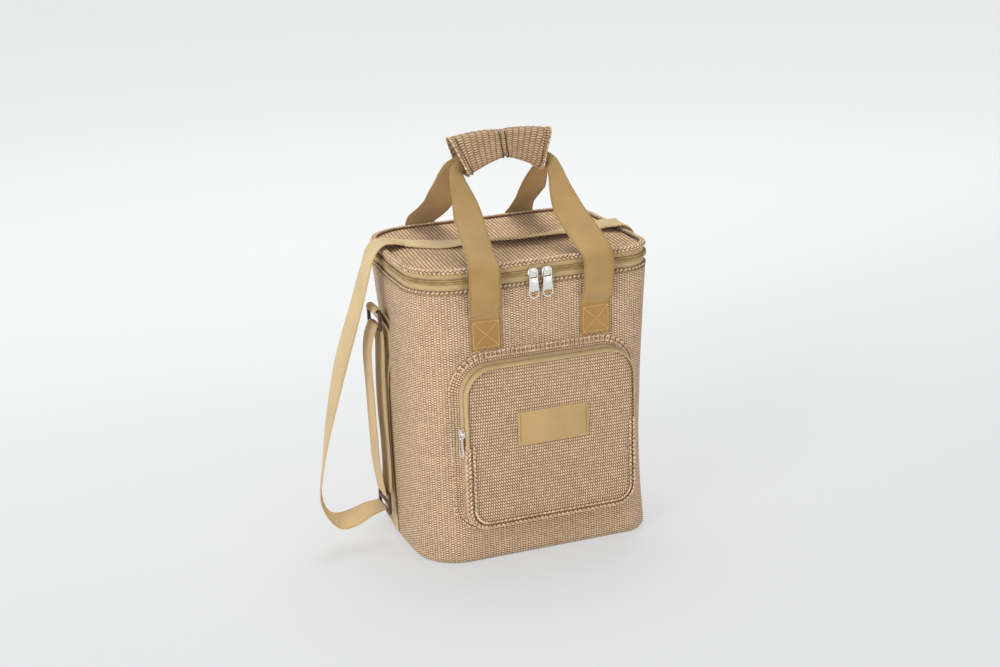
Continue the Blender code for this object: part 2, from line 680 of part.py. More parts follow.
def web_size(height):
    """Thickness and width of handle webbing that folds lengthwise in two on its way up to the grip."""
    fold = ease((height - FOLD_LOW) / (FOLD_HIGH - FOLD_LOW))
    return WEBBING * (1 + fold), WEBBING_WIDTH + (FOLDED_WIDTH - WEBBING_WIDTH) * fold


def above_body(places):
    """Points given in millimetres, their heights counted from the top of the body."""
    return [Vector(place) * MM + Z_AXIS * BODY_HEIGHT for place in places]


def leg_route(side, facing):
    """The line of one leg from its anchor into the grip; facing is -1 at the front."""
    reach = HALF_DEPTH + CLEARANCE + WEBBING / 2
    foot = ANCHOR_HIGH + 3 * CLEARANCE
    rise = [(60.3, 3.6, -19), (60.9, 6.6, -13), (61.3, 8.0, -4), (61.5, 8.8, 7), (61.5, 8.8, 17),
            (61.2, 7.2, 24), (60.4, 1, 30.5)]
    lean_shares = [0.86, 0.68, 0.51, 0.365, 0.23, 0.195, 0.13, 0.085]
    lean = [(58.5, 0, 39), (56.3, 0, 49), (54.3, 0, 60), (53.2, 0, 75), (53.6, 0, 90), (53.6, 0, 94),
            (52.6, 0, 101), (49.6, 0, 105.3)]
    climb = [point + Y_AXIS * HALF_DEPTH for point in above_body(rise)]
    climb += [point + Y_AXIS * HALF_DEPTH * share for point, share in zip(above_body(lean), lean_shares)]
    places = web_line()[0]
    end = places[-1]
    heading = (end - places[-2]).normalized()
    points = [Vector((ANCHOR_SPREAD, reach, foot)), Vector((ANCHOR_SPREAD, reach, foot + LEG_FOOT)),
              *climb, end + heading * LEG_MOUTH, end + heading * CLEARANCE]
    return [Vector((side * point.x, facing * point.y, point.z)) for point in smooth_route(points, 2)]


def make_handle(word, facing, carrier):
    """One webbing handle: two stitched anchors, two legs and the run that lies in the grip."""
    for side, hand in ((-1, "left"), (1, "right")):
        loop = rounded_loop(WEBBING_WIDTH / 2, ANCHOR_LOW, ANCHOR_HIGH, WEBBING / 2, 1)
        loop = [point + Vector((side * ANCHOR_SPREAD, 0)) for point in loop]
        name = f"{word}_{hand}_anchor"
        depth = HALF_DEPTH + CLEARANCE + WEBBING / 2
        node(name, flat_curve(name, [loop], WEBBING), "handle_webbing", place=front_place(-facing * depth))
        route = leg_route(side, facing)
        ahead = [*route[1:], route[-1]]
        behind = [route[0], *route[:-1]]
        across = [(ahead[index] - behind[index]).cross(-Y_AXIS) * side for index in range(len(route))]
        ribbon(f"{word}_{hand}_leg", route, across, [web_size(point.z) for point in route], carrier)
    places, normals = web_line()
    places = [Vector((place.x, facing * place.y, place.z)) for place in places]
    ribbon(f"{word}_web_run", places, normals, [web_size(FOLD_HIGH)] * len(places), carrier)


def make_grip(rear, flap):
    """The padded wrap round both webs: its back half is sewn to the rear web, its front half opens."""
    columns = [GRIP_HALF_LENGTH * (2 * step / GRIP_STEPS - 1) for step in range(GRIP_STEPS + 1)]
    frames = [(grip_line(across)[0], Y_AXIS, grip_line(across)[1]) for across in columns]

    def edge(column, facing, wall):
        share = abs(columns[column]) / GRIP_HALF_LENGTH
        high = GRIP_HALF_HEIGHT - GRIP_PINCH * (1 - share) - wall
        deep = GRIP_HALF_DEPTH - GRIP_SPLIT - wall
        points = []
        for step in range(GRIP_SIDES + 1):
            turn = math.pi * (0.5 - step / GRIP_SIDES)
            cosine, sine = math.cos(turn), math.sin(turn)
            out = GRIP_SPLIT + deep * abs(cosine) ** (2 / GRIP_POWER)
            points.append((facing * out, high * math.copysign(abs(sine) ** (2 / GRIP_POWER), sine)))
        return points
    for name, facing, carrier in (("grip_back", 1, rear), ("grip_flap", -1, flap)):
        def half(column, facing=facing):
            return edge(column, facing, 0.0) + edge(column, facing, GRIP_WALL)[::-1]
        swept(name, frames, half, "straw_weave", carrier)


def side_strip_route(side):
    """The side strip, which runs up the bag, folds over the ring's top bar and is sewn down."""
    face = HALF_WIDTH + CLEARANCE + STRAP / 2
    second = face + STRAP + CLEARANCE
    bar = HALF_WIDTH + RING_REACH
    reach = RING_BAR + 2 * CLEARANCE + STRAP / 2
    turns = [math.radians(150 - 30 * step) for step in range(7)]
    around = [(bar + reach * math.cos(turn), RING_TOP + reach * math.sin(turn)) for turn in turns]
    flat = [(face, STRIP_FOOT), (face, STRIP_SEWN / 2), (face, STRIP_SEWN)]
    away = (face + 2 * STRAP, STRIP_SEWN + RING_DROP * STRIP_LEAVE_SHARE)
    back = ((second + bar) / 2, RING_TOP - RING_DROP * STRIP_RETURN_SHARE)
    tail = [back, (second, STRIP_SEWN - 2 * STRAP), (second, STRIP_TAIL)]
    return [Vector((side * x, 0, z)) for x, z in [*flat, away, *around, *tail]]


def make_side(side, word, swing):
    """A side strip with the ring that it holds."""
    points = side_strip_route(side)
    lay(f"{word}_side_strip", strap_frames(points, [Y_AXIS] * len(points)))
    loop = rounded_loop(RING_WIDTH / 2, -RING_DROP, 0, RING_CORNER)
    ring = wire_curve(f"{word}_ring", [(point.x, point.y, 0) for point in loop], RING_BAR, True)
    top = (side * (HALF_WIDTH + RING_REACH), 0, RING_TOP)
    node(f"{word}_ring", ring, "brown_plastic", swing, place_on(top, Y_AXIS, Z_AXIS))


def make_adjuster(slide):
    """The flat three-bar adjuster low on the left side."""
    half = ADJUSTER_LENGTH / 2
    frame = rounded_loop(ADJUSTER_WIDTH / 2, -half, half, ADJUSTER_CORNER)
    slots = []
    for side in (-1, 1):
        near, far = side * ADJUSTER_RIM / 2, side * (half - ADJUSTER_RIM)
        slots.append(rounded_loop(ADJUSTER_WIDTH / 2 - ADJUSTER_RIM, min(near, far), max(near, far),
                                  ADJUSTER_CORNER / 3, 1))
    curve = flat_curve("strap_adjuster", [frame, *slots], ADJUSTER_THICKNESS, ADJUSTER_THICKNESS / 5)
    place = place_on((-HALF_WIDTH - ADJUSTER_REACH, 0, ADJUSTER_HEIGHT), Y_AXIS, Z_AXIS)
    node("strap_adjuster", curve, "brown_plastic", slide, place)


def make_strap(lid):
    """The shoulder strap in the stretches that bend apart when the lid, a ring or the adjuster moves.

    Its route is in millimetres: foot and loop out from the left side, run across the lid, drop out from the
    right side. Heights are from the floor in foot and from the top of the body after it.
    """
    flat, turned, raised, lifted = (0, 1, 0), (0.3, 1, 0), (0, 1, -0.25), (0, 1, -0.15)
    foot = [((-16.1, 0, 40.5), flat), ((-33, 0, 37), flat), ((-49, 0, 31), flat), ((-66, 0, 30), flat),
            ((-78, 0, 42), flat), ((-83, 0, 63), (0.1, 1, 0)), ((-79, 0, 92), (0.2, 1, 0))]
    loop = [((-71, 0, -157), turned), ((-63, 0, -125), turned), ((-53, 0, -88), turned),
            ((-41, 0, -52), turned), ((-30, 3, -22), turned), ((-19, 9, 1), turned),
            ((-11.5, 14, 15), turned), ((-5.5, 18.5, 24.5), (0.2, 1, 0)), ((2, 22, 29), flat)]
    run_shares = [-0.938, -0.862, -0.762, -0.631, -0.477, -0.277, -0.062, 0.169, 0.369, 0.554, 0.738,
                  0.854, 0.938]
    run = [((0, 24.5, 29), flat), ((0, 28.5, 27.7), flat), ((0, 30, 25), flat), ((0, 20, 23.9), flat),
           ((0, 7, 24.2), flat), ((0, -4, 26.6), lifted), ((0, -12, 28), raised), ((0, -19, 28), raised),
           ((0, -16, 27.3), (0, 1, -0.2)), ((0, -8, 25.6), (0, 1, -0.05)), ((0, -3, 25), flat),
           ((0, -5, 27.6), flat), ((0, -10, 28.8), flat)]
    drop = [((-0.5, -13, 28.6), flat), ((6.5, -12.5, 23), flat), ((12, -9.5, 11), flat),
            ((17, -5, -7), flat), ((20.3, -1.5, -26), flat), ((21, 0, -40), flat)]
    bar = HALF_WIDTH + RING_REACH
    low_bar = RING_TOP - RING_DROP

    def round_bar(*degrees):
        wrap = RING_BAR + 2 * CLEARANCE + STRAP / 2
        turns = [math.radians(turn) for turn in degrees]
        return [(bar + wrap * math.cos(turn), low_bar + wrap * math.sin(turn)) for turn in turns]
    points = [Vector(place) * MM for place, width in foot] + above_body([place for place, width in loop])
    points = [point - X_AXIS * HALF_WIDTH for point in points]
    across = [share * HALF_WIDTH for share in run_shares] + [HALF_WIDTH] * len(drop)
    points += [point + X_AXIS * shift
               for point, shift in zip(above_body([place for place, width in run + drop]), across)]
    points += [Vector((x, 0, z)) for x, z in round_bar(0, -45, -90)]
    frames = strap_frames(points, [width for place, width in foot + loop + run + drop] + [flat] * 3)
    on_lid = ROUTE_STEPS * len(foot + loop)
    off_lid = on_lid + ROUTE_STEPS * (len(run) - 1)
    lay("strap_left_loop", frames[:on_lid + 1])
    lay("strap_lid_run", frames[on_lid:off_lid + 1], lid)
    lay("strap_right_drop", frames[off_lid:])

    adjuster_out = HALF_WIDTH + ADJUSTER_REACH + ADJUSTER_THICKNESS / 2 + CLEARANCE
    adjuster_in = HALF_WIDTH + ADJUSTER_REACH - ADJUSTER_THICKNESS / 2 - CLEARANCE
    slot = ADJUSTER_HEIGHT + ADJUSTER_LENGTH / 2 - ADJUSTER_RIM

    def strand(reaches, fall_shares):
        return [(bar + reach * MM, low_bar + (slot - low_bar) * fall)
                for reach, fall in zip(reaches, fall_shares)]
    outer = [*round_bar(80, 40, 0), *strand([8, 10, 9, 8, 6.6], [0.071, 0.185, 0.375, 0.619, 0.820]),
             (adjuster_out + STRAP / 2, slot)]
    inner = [*round_bar(100, 140, 180),
             *strand([-4, -2.5, -2.5, -4, -4.4], [0.114, 0.320, 0.505, 0.690, 0.863]),
             (adjuster_in - STRAP / 2, slot)]
    for name, line in (("strap_outer_strand", outer), ("strap_inner_strand", inner)):
        points = [Vector((-x, 0, z)) for x, z in line]
        lay(name, strap_frames(points, [Y_AXIS] * len(points)))


def build():
    """Makes every piece of the tote."""
    start_scene()
    make_finishes()
    make_body()
    lid = pivot("lid_hinge", (0, HALF_DEPTH + BRAID_PROUD, ZIP_LINE))
    make_zip_and_lid(lid)
    make_lid_sliders()
    flap = pivot("pocket_flap_hinge", (0, -POCKET_PANEL - WEAVE - CLEARANCE, POCKET_FOLD))
    make_pocket(flap)
    make_pocket_slider()
    hinge = HALF_DEPTH + HANDLE_HINGE_REACH
    front = pivot("front_handle_hinge", (0, -hinge, HANDLE_HINGE_HEIGHT))
    rear = pivot("rear_handle_hinge", (0, hinge, HANDLE_HINGE_HEIGHT))
    make_handle("front", -1, front)
    make_handle("rear", 1, rear)
    ridge = GRIP_END_HEIGHT + GRIP_ARCH + GRIP_HALF_HEIGHT - GRIP_PINCH
    make_grip(rear, pivot("grip_flap_hinge", (0, 0, ridge)))
    for side, word in ((-1, "left"), (1, "right")):
        top = (side * (HALF_WIDTH + RING_REACH), 0, RING_TOP)
        make_side(side, word, pivot(f"{word}_ring_hinge", top))
    place = (-HALF_WIDTH - ADJUSTER_REACH, 0, ADJUSTER_HEIGHT)
    make_adjuster(pivot("adjuster_slide", place))
    make_strap(lid)


build()
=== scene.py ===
"""Looks of the insulated lunch tote: straw weave, braided seams, webbing, zips, metal and foil lining.

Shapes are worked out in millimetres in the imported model's frame (X to the bag's right, Y to the rear,
Z up, origin under its middle) and are scaled to metres where their meshes are made.
"""
import math

import bmesh
import bpy
from mathutils import Matrix, Vector, noise


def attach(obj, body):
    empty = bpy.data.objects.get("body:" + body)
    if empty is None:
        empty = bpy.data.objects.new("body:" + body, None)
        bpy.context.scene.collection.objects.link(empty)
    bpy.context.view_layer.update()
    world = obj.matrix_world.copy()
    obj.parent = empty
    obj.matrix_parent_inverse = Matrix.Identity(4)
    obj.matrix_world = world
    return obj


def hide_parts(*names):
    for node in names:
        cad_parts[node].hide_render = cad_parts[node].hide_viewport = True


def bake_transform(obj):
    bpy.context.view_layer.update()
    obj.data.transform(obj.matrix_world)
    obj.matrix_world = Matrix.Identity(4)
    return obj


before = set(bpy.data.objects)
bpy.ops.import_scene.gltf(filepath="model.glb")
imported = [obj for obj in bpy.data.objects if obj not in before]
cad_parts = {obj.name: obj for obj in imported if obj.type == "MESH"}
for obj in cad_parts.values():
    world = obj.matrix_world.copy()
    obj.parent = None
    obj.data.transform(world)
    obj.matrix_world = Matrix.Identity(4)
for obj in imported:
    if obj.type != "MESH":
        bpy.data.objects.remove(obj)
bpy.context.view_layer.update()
MM = 0.001

WALL_TOP = 290
HEM = 8
LID_TOP = 312.4
LID_UNDER = 304.6
COIL_PITCH = 2.0
POCKET_FRONT = 119.6
POCKET_FOLD = 127
FLANGE_FACE = 101.9
GRIP_HALF = 48
WEBBING_WIDTH = 33
FOLDED_WIDTH = 13
STRAP_WIDTH = 30
RING_OUT = 144
BAR_WRAP = 3.4
RING_LOW = 239
RING_HIGH = 257
ANCHOR_OUT = 59.7
ANCHOR_FACE = 101.3
CLOTH = 1.4
BRAID_PITCH = 4.7

X_AXIS = Vector((1, 0, 0))
Y_AXIS = Vector((0, 1, 0))
Z_AXIS = Vector((0, 0, 1))


# Materials

def tone(red, green, blue):
    """A colour given on the usual 0 to 255 scale, made linear."""
    linear = [((part / 255 + 0.055) / 1.055) ** 2.4 for part in (red, green, blue)]
    return (*linear, 1.0)


def wire(tree, socket, value):
    """Sets an input, or joins another node's output to it."""
    if isinstance(value, bpy.types.NodeSocket):
        tree.links.new(value, socket)
    else:
        socket.default_value = value


def shade(tree, kind, *values, out=0, **settings):
    """Adds one shader node with its settings and inputs, and returns one of its outputs."""
    added = tree.nodes.new("ShaderNode" + kind)
    for word, value in settings.items():
        setattr(added, word, value)
    for socket, value in zip(added.inputs, values):
        if value is not None:
            wire(tree, socket, value)
    return added.outputs[out]


def calc(tree, operation, *values):
    """One step of arithmetic."""
    return shade(tree, "Math", *values, operation=operation)


def fade(tree, value, low, high, to_low=0.0, to_high=1.0):
    """A value eased from one range to another."""
    return shade(tree, "MapRange", value, low, high, to_low, to_high, interpolation_type="SMOOTHSTEP")


def blend_colour(tree, share, first, second, kind="MIX"):
    """A mix of two colours."""
    added = tree.nodes.new("ShaderNodeMix")
    added.data_type = "RGBA"
    added.blend_type = kind
    wire(tree, added.inputs[0], share)
    wire(tree, added.inputs[6], first)
    wire(tree, added.inputs[7], second)
    return added.outputs[2]


def dim(tree, colour, share):
    """A colour multiplied by a share."""
    return blend_colour(tree, 1.0, colour, shade(tree, "CombineColor", share, share, share), "MULTIPLY")


def cloudy(tree, scale, detail=2.0, vector=None):
    """Soft irregular noise from 0 to 1 over the object's own space."""
    place = vector or shade(tree, "TexCoord", out=3)
    return shade(tree, "TexNoise", place, None, scale, detail, out=0)


def blank(name, roughness, metallic=0.0, sheen=0.0, specular=0.3):
    """A new material with its Principled shader's even values set on its own sockets."""
    material = bpy.data.materials.new(name)
    material.use_nodes = True
    shader = material.node_tree.nodes["Principled BSDF"]
    shader.inputs["Roughness"].default_value = roughness
    shader.inputs["Metallic"].default_value = metallic
    shader.inputs["Specular IOR Level"].default_value = specular
    shader.inputs["Sheen Weight"].default_value = sheen
    return material, material.node_tree, shader


def surface(tree, shader, colour, height, depth, roughness=None):
    """Joins a colour and a relief, given in metres, to a shader."""
    wire(tree, shader.inputs["Base Color"], colour)
    if roughness is not None:
        wire(tree, shader.inputs["Roughness"], roughness)
    bump = tree.nodes.new("ShaderNodeBump")
    bump.inputs["Strength"].default_value = 1.0
    bump.inputs["Distance"].default_value = depth
    wire(tree, bump.inputs["Height"], height)
    wire(tree, shader.inputs["Normal"], bump.outputs[0])


def parts(tree, place):
    """A place's distance along each axis."""
    split = tree.nodes.new("ShaderNodeSeparateXYZ")
    wire(tree, split.inputs[0], place)
    return tuple(split.outputs)


def weave_place(tree):
    """The two directions of a piece's own weave map, in millimetres."""
    return parts(tree, shade(tree, "UVMap", uv_map="weave"))[:2]


def hump(tree, share, power):
    """A rounded hump over one cell."""
    wave = calc(tree, "SINE", calc(tree, "MULTIPLY", share, math.pi))
    return calc(tree, "POWER", calc(tree, "MAXIMUM", wave, 0.0), power)


def straw_weave(name, light, middle, dark, turned=False, lean=0.0, rib=0.6, end=1.3,
                cell=(3.0, 2.6), calm=0.55):
    """Straw cloth in columns of short strands: light tops over dark gaps, every second column calmer.

    lean slants the columns, turned lays them across, rib and end sharpen the gaps between columns and
    between strands, and cell is one strand's width and length in millimetres.
    """
    material, tree, shader = blank(name, 0.82, sheen=0.15, specular=0.2)
    across, up = weave_place(tree)
    across = calc(tree, "MULTIPLY_ADD", up, lean, across)
    if turned:
        across, up = up, across
    columns = calc(tree, "DIVIDE", across, cell[0])
    column = calc(tree, "FLOOR", columns)
    odd = calc(tree, "FLOORED_MODULO", column, 2.0)
    rows = calc(tree, "MULTIPLY_ADD", odd, 0.5, calc(tree, "DIVIDE", up, cell[1]))
    strand = hump(tree, calc(tree, "FRACT", rows), end)
    relief = calc(tree, "MULTIPLY", strand, hump(tree, calc(tree, "FRACT", columns), rib))
    quiet = calc(tree, "MULTIPLY", odd, calm)
    shown = calc(tree, "MULTIPLY_ADD", quiet, calc(tree, "SUBTRACT", 0.52, relief), relief)
    lower = blend_colour(tree, fade(tree, shown, 0.08, 0.42), dark, middle)
    strands = blend_colour(tree, fade(tree, shown, 0.45, 0.85), lower, light)
    spot = shade(tree, "CombineXYZ", column, calc(tree, "FLOOR", rows), 0.0)
    tint = shade(tree, "TexWhiteNoise", spot, out=0, noise_dimensions="2D")
    varied = calc(tree, "MULTIPLY_ADD", tint, 0.26, calc(tree, "MULTIPLY", cloudy(tree, 45.0), 0.24))
    surface(tree, shader, dim(tree, strands, calc(tree, "ADD", varied, 0.77)), relief, 0.5 * MM)
    return material


def webbing(name, colour, shadow, half_width):
    """Cotton webbing: fine crosswise ribs, a slight twill and a tighter selvedge along both edges."""
    material, tree, shader = blank(name, 0.88, sheen=0.25, specular=0.15)
    along, across = weave_place(tree)
    ribs = hump(tree, calc(tree, "FRACT", calc(tree, "DIVIDE", along, 1.3)), 0.7)
    ends = hump(tree, calc(tree, "FRACT", calc(tree, "DIVIDE", across, 0.9)), 0.7)
    weave = calc(tree, "MULTIPLY", ribs, calc(tree, "ADD", calc(tree, "MULTIPLY", ends, 0.5), 0.5))
    reach = calc(tree, "ABSOLUTE", across)
    line = calc(tree, "MULTIPLY", fade(tree, reach, half_width - 2.6, half_width - 1.4),
                fade(tree, reach, half_width - 0.9, half_width, 1.0, 0.2))
    relief = calc(tree, "SUBTRACT", weave, calc(tree, "MULTIPLY", line, 0.5))
    tinted = blend_colour(tree, fade(tree, relief, -0.6, 0.8), shadow, colour)
    patchy = fade(tree, cloudy(tree, 28.0, 3.0), 0.3, 0.7, 0.93, 1.05)
    surface(tree, shader, dim(tree, tinted, patchy), relief, 0.35 * MM)
    return material


def straw_braid(name, light, dark):
    """Plaited straw: fine fibres and an uneven tint."""
    material, tree, shader = blank(name, 0.8, sheen=0.15, specular=0.22)
    fibres = cloudy(tree, 900.0, 3.0)
    patchy = cloudy(tree, 160.0, 1.0)
    colour = blend_colour(tree, fade(tree, patchy, 0.25, 0.75), dark, light)
    surface(tree, shader, colour, fibres, 0.25 * MM)
    return material


def nickel(name):
    """Bright plated metal with faint handling marks."""
    material, tree, shader = blank(name, 0.16, metallic=1.0, specular=0.5)
    marks = cloudy(tree, 700.0, 3.0)
    colour = blend_colour(tree, marks, tone(226, 224, 218), tone(250, 249, 246))
    surface(tree, shader, colour, cloudy(tree, 240.0), 0.05 * MM, fade(tree, marks, 0.2, 0.8, 0.12, 0.26))
    return material


def moulded(name, colour):
    """Smooth moulded plastic with a slight orange-peel skin."""
    material, tree, shader = blank(name, 0.38, specular=0.45)
    patchy = cloudy(tree, 300.0)
    lighter = tuple(min(1.0, part * 1.5) for part in colour[:3]) + (1.0,)
    surface(tree, shader, blend_colour(tree, patchy, colour, lighter), patchy, 0.06 * MM,
            fade(tree, patchy, 0.3, 0.7, 0.32, 0.46))
    return material


def foil(name):
    """Foil film over foam: bright, finely crinkled."""
    material, tree, shader = blank(name, 0.3, metallic=0.75, specular=0.5)
    crinkles = shade(tree, "TexVoronoi", shade(tree, "TexCoord", out=3), None, 130.0, out=0)
    waves = cloudy(tree, 60.0, 3.0)
    relief = calc(tree, "ADD", calc(tree, "MULTIPLY", crinkles, 0.5), waves)
    colour = blend_colour(tree, waves, tone(196, 198, 200), tone(232, 233, 234))
    surface(tree, shader, colour, relief, 0.8 * MM, fade(tree, waves, 0.3, 0.7, 0.24, 0.42))
    return material


def grained(name, light, dark, scale, roughness):
    """A plain core such as foam or board, with a fine open grain."""
    material, tree, shader = blank(name, roughness, specular=0.2)
    pores = shade(tree, "TexVoronoi", shade(tree, "TexCoord", out=3), None, scale, out=0)
    surface(tree, shader, blend_colour(tree, pores, dark, light), pores, 0.2 * MM)
    return material


looks = {
    "body": (straw_weave("body_weave", tone(240, 213, 180), tone(186, 155, 122), tone(112, 80, 56)),
             "straw_weave"),
    # The lid's weave is darker than the body's: painted shade for the handle's shadow over the lid; its
    # pattern is the lid's own.
    "lid": (straw_weave("shaded_lid_weave", tone(212, 180, 138), tone(174, 142, 104), tone(104, 72, 48), lean=-0.1,
                        rib=1.1, end=0.25, cell=(4.0, 9.0), calm=0.2), "straw_weave"),
    "wrap": (straw_weave("wrap_weave", tone(196, 166, 130), tone(158, 128, 96), tone(108, 80, 58), lean=0.12,
                         rib=0.35, end=0.9, cell=(6.0, 2.7), calm=0.1), "straw_weave"),
    "pocket": (straw_weave("pocket_weave", tone(238, 209, 174), tone(184, 153, 119), tone(106, 75, 53),
                           turned=True, lean=0.3, cell=(3.3, 2.5), calm=0.12), "straw_weave"),
    "braid": (straw_braid("braid_straw", tone(232, 206, 172), tone(196, 162, 124)), "straw_braid"),
    # A dark copy of the braid straw for the tubes under the plaited stitches: painted shade between the
    # stitches.
    "braid_shade_core": (straw_braid("braid_shadow", tone(132, 100, 72), tone(104, 76, 52)), "straw_braid"),
    "handle": (webbing("handle_webbing_cotton", tone(187, 152, 96), tone(138, 105, 57), WEBBING_WIDTH / 2),
               "handle_webbing"),
    "strap": (webbing("strap_webbing_cotton", tone(224, 196, 146), tone(176, 146, 98), STRAP_WIDTH / 2),
              "strap_webbing"),
    "tape": (webbing("zip_tape_twill", tone(208, 180, 132), tone(164, 136, 92), 60), "zip_tape"),
    "coil": (straw_braid("zip_coil_nylon", tone(176, 148, 102), tone(150, 122, 80)), "zip_coil"),
    "tab": (webbing("anchor_webbing_cotton", tone(184, 142, 84), tone(140, 102, 54), WEBBING_WIDTH / 2),
            "handle_webbing"),
    "thread": (straw_braid("sewing_thread", tone(228, 198, 142), tone(206, 172, 118)), "handle_webbing"),
    "dark_thread": (straw_braid("dark_sewing_thread", tone(98, 66, 44), tone(76, 50, 34)), "straw_braid"),
    "patch": (webbing("patch_canvas", tone(204, 172, 118), tone(176, 144, 94), 60), "canvas_patch"),
    "metal": (nickel("nickel_plate"), "bright_nickel"),
    "plastic": (moulded("brown_moulded_plastic", tone(72, 46, 40)), "brown_plastic"),
    "foil": (foil("foil_film"), "foil_liner"),
    "foam": (grained("foam_cells", tone(236, 236, 232), tone(200, 200, 196), 900.0, 0.9), "closed_cell_foam"),
    "board": (grained("pressed_board", tone(130, 104, 78), tone(96, 74, 54), 1200.0, 0.9), "fibre_board"),
}


# Making pieces

def linked(name, data):
    """A new object of a mesh, a camera or a lamp, in the scene."""
    thing = bpy.data.objects.new(name, data)
    bpy.context.scene.collection.objects.link(thing)
    return thing


def add_piece(name, shape, look, body=None, stands_for=(), crease=180):
    """Turns a bmesh in millimetres into a piece with its finish, its body and the nodes it stands for."""
    bmesh.ops.scale(shape, vec=(MM, MM, MM), verts=shape.verts)
    mesh = bpy.data.meshes.new(name)
    shape.to_mesh(mesh)
    shape.free()
    mesh.shade_smooth()
    mesh.set_sharp_from_angle(angle=math.radians(crease))
    material, slot = looks[look]
    mesh.materials.append(material)
    thing = linked(name, mesh)
    if stands_for:
        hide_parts(*stands_for)
    if body:
        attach(thing, body)
    return thing


def loft(columns, rows, place, closed=False):
    """A grid of columns by rows; place gives each point and its spot in the weave from two shares."""
    shape = bmesh.new()
    bmesh.ops.create_grid(shape, x_segments=columns, y_segments=rows, size=1)
    weave = shape.loops.layers.uv.new("weave")
    spots = {}
    for vert in shape.verts:
        column = round((vert.co.x + 1) / 2 * columns) / columns
        row = round((vert.co.y + 1) / 2 * rows) / rows
        vert.co, spots[vert] = place(column, row)
    for face in shape.faces:
        for loop in face.loops:
            loop[weave].uv = spots[loop.vert]
    bmesh.ops.remove_doubles(shape, verts=shape.verts, dist=0.001)
    if closed:
        bmesh.ops.holes_fill(shape, edges=[edge for edge in shape.edges if edge.is_boundary], sides=0)
        bmesh.ops.recalc_face_normals(shape, faces=shape.faces)
    return shape


def block(shape, middle, size, rounding):
    """Adds a box with slightly rounded edges."""
    made = bmesh.ops.create_cube(shape, size=1,
                                 matrix=Matrix.Translation(middle) @ Matrix.Diagonal((*size, 1)))
    edges = dict.fromkeys(edge for vert in made["verts"] for edge in vert.link_edges)
    bmesh.ops.bevel(shape, geom=list(edges), offset=rounding, segments=2, affect="EDGES", profile=0.5,
                    material=-1)


def thicken(piece, depth, offset=-1.0):
    """Gives a sheet its thickness."""
    solid = piece.modifiers.new("thickness", "SOLIDIFY")
    solid.thickness = depth * MM
    solid.offset = offset
    return piece


def beads(places, size):
    """Repeated small stitches, one low oval at each place."""
    shape = bmesh.new()
    for place in places:
        bmesh.ops.create_uvsphere(shape, u_segments=6, v_segments=4, radius=0.5,
                                  matrix=place @ Matrix.Diagonal((*size, 1)))
    return shape


def laid(point, along, out, turn=0.0):
    """The place of a stitch at a point, its length along a direction and its back to the surface."""
    out = out.normalized()
    along = (along - out * along.dot(out)).normalized()
    side = out.cross(along)
    turned = Matrix((along, side, out)).transposed().to_4x4()
    return Matrix.Translation(point) @ turned @ Matrix.Rotation(math.radians(turn), 4, "Z")


def ease(share):
    """A smooth step from 0 to 1."""
    share = min(max(share, 0.0), 1.0)
    return share * share * (3 - 2 * share)


def outline_runs(corners):
    """The arcs and straight runs of a rounded outline, each with its length, anticlockwise."""
    runs = []
    for index, (centre, radius, first) in enumerate(corners):
        def arc(along, centre=Vector(centre), radius=radius, first=first):
            turn = math.radians(first) + along / radius
            normal = Vector((math.cos(turn), math.sin(turn)))
            return centre + normal * radius, normal
        quarter = math.pi / 2 * radius
        runs.append((quarter, arc))
        start, normal = arc(quarter)
        next_centre, next_radius, _ = corners[(index + 1) % len(corners)]
        end = Vector(next_centre) + normal * next_radius
        length = (end - start).length

        def straight(along, start=start, end=end, length=length, normal=normal):
            return start.lerp(end, along / length), normal
        runs.append((length, straight))
    return runs


def on_outline(runs, distance):
    """The point and outward normal at a distance round an outline."""
    distance %= sum(length for length, run in runs)
    for length, run in runs:
        if distance <= length:
            return run(distance)
        distance -= length
    return runs[-1][1](runs[-1][0])


FRONT_LEFT, LEFT_ROUND = (-82, -52), 48
FRONT_RIGHT, RIGHT_ROUND = (95, -65), 35
BAG_RUNS = outline_runs([((-80, 50), 50, 90), (FRONT_LEFT, LEFT_ROUND, 180),
                         (FRONT_RIGHT, RIGHT_ROUND, 270), ((87, 57), 43, 0)])
BAG_ROUND = sum(length for length, run in BAG_RUNS)
REAR_HALF = 83.5
CLOTH_REPEAT = 6
BODY_REPEATS = round(BAG_ROUND / CLOTH_REPEAT) * CLOTH_REPEAT / BAG_ROUND


def up_wall(height):
    """A height as a share of the wall."""
    return min(max(height / WALL_TOP, 0.0), 1.0)


def sunk(x, y, height):
    """How far the soft right side has sunk in at a place: most near its front."""
    share = up_wall(height)
    deep = 9 - 6 * ease((y + 75) / 110)
    return deep * (0.85 * math.sin(math.pi * share ** 0.8) + 0.4 * (1 - share) ** 2) * ease((x - 84) / 46)


def leaned(height):
    """How far the rear left corner leans in at a height."""
    return 3 + 7 * math.sin(math.pi * up_wall(height) ** 1.4)


def settled(spot, height):
    """Where a point of the soft outline rests: sunk in, leaned in or swollen by side, and slightly dented."""
    if spot.x > 0:
        x = spot.x - sunk(spot.x, spot.y, height)
    else:
        x = spot.x + leaned(height) * ease(-spot.x / 100) * ease((spot.y + 15) / 65)
        swell = 5 * math.sin(math.pi * up_wall(height)) ** 0.6 * math.exp(-((spot.y + 5) / 45) ** 2)
        x -= swell * ease((-spot.x - 90) / 40)
    dent = noise.noise(Vector((x, spot.y, height)) / 55) * 0.4 + 0.4
    kept = 1 - dent * math.sin(math.pi * up_wall(height)) / 110
    return Vector((x * kept, spot.y * kept, height))


def bag_at(distance, offset=0.0, height=0.0):
    """A point round the bag, counted from the middle of its rear, and the outward normal there."""
    point, normal = on_outline(BAG_RUNS, distance - REAR_HALF)
    return settled(point + normal * offset, height), Vector((normal.x, normal.y, 0))


def bag_spot(share, offset, height):
    """A point at a share of the way round the bag."""
    return bag_at(share * BAG_ROUND, offset, height)[0]


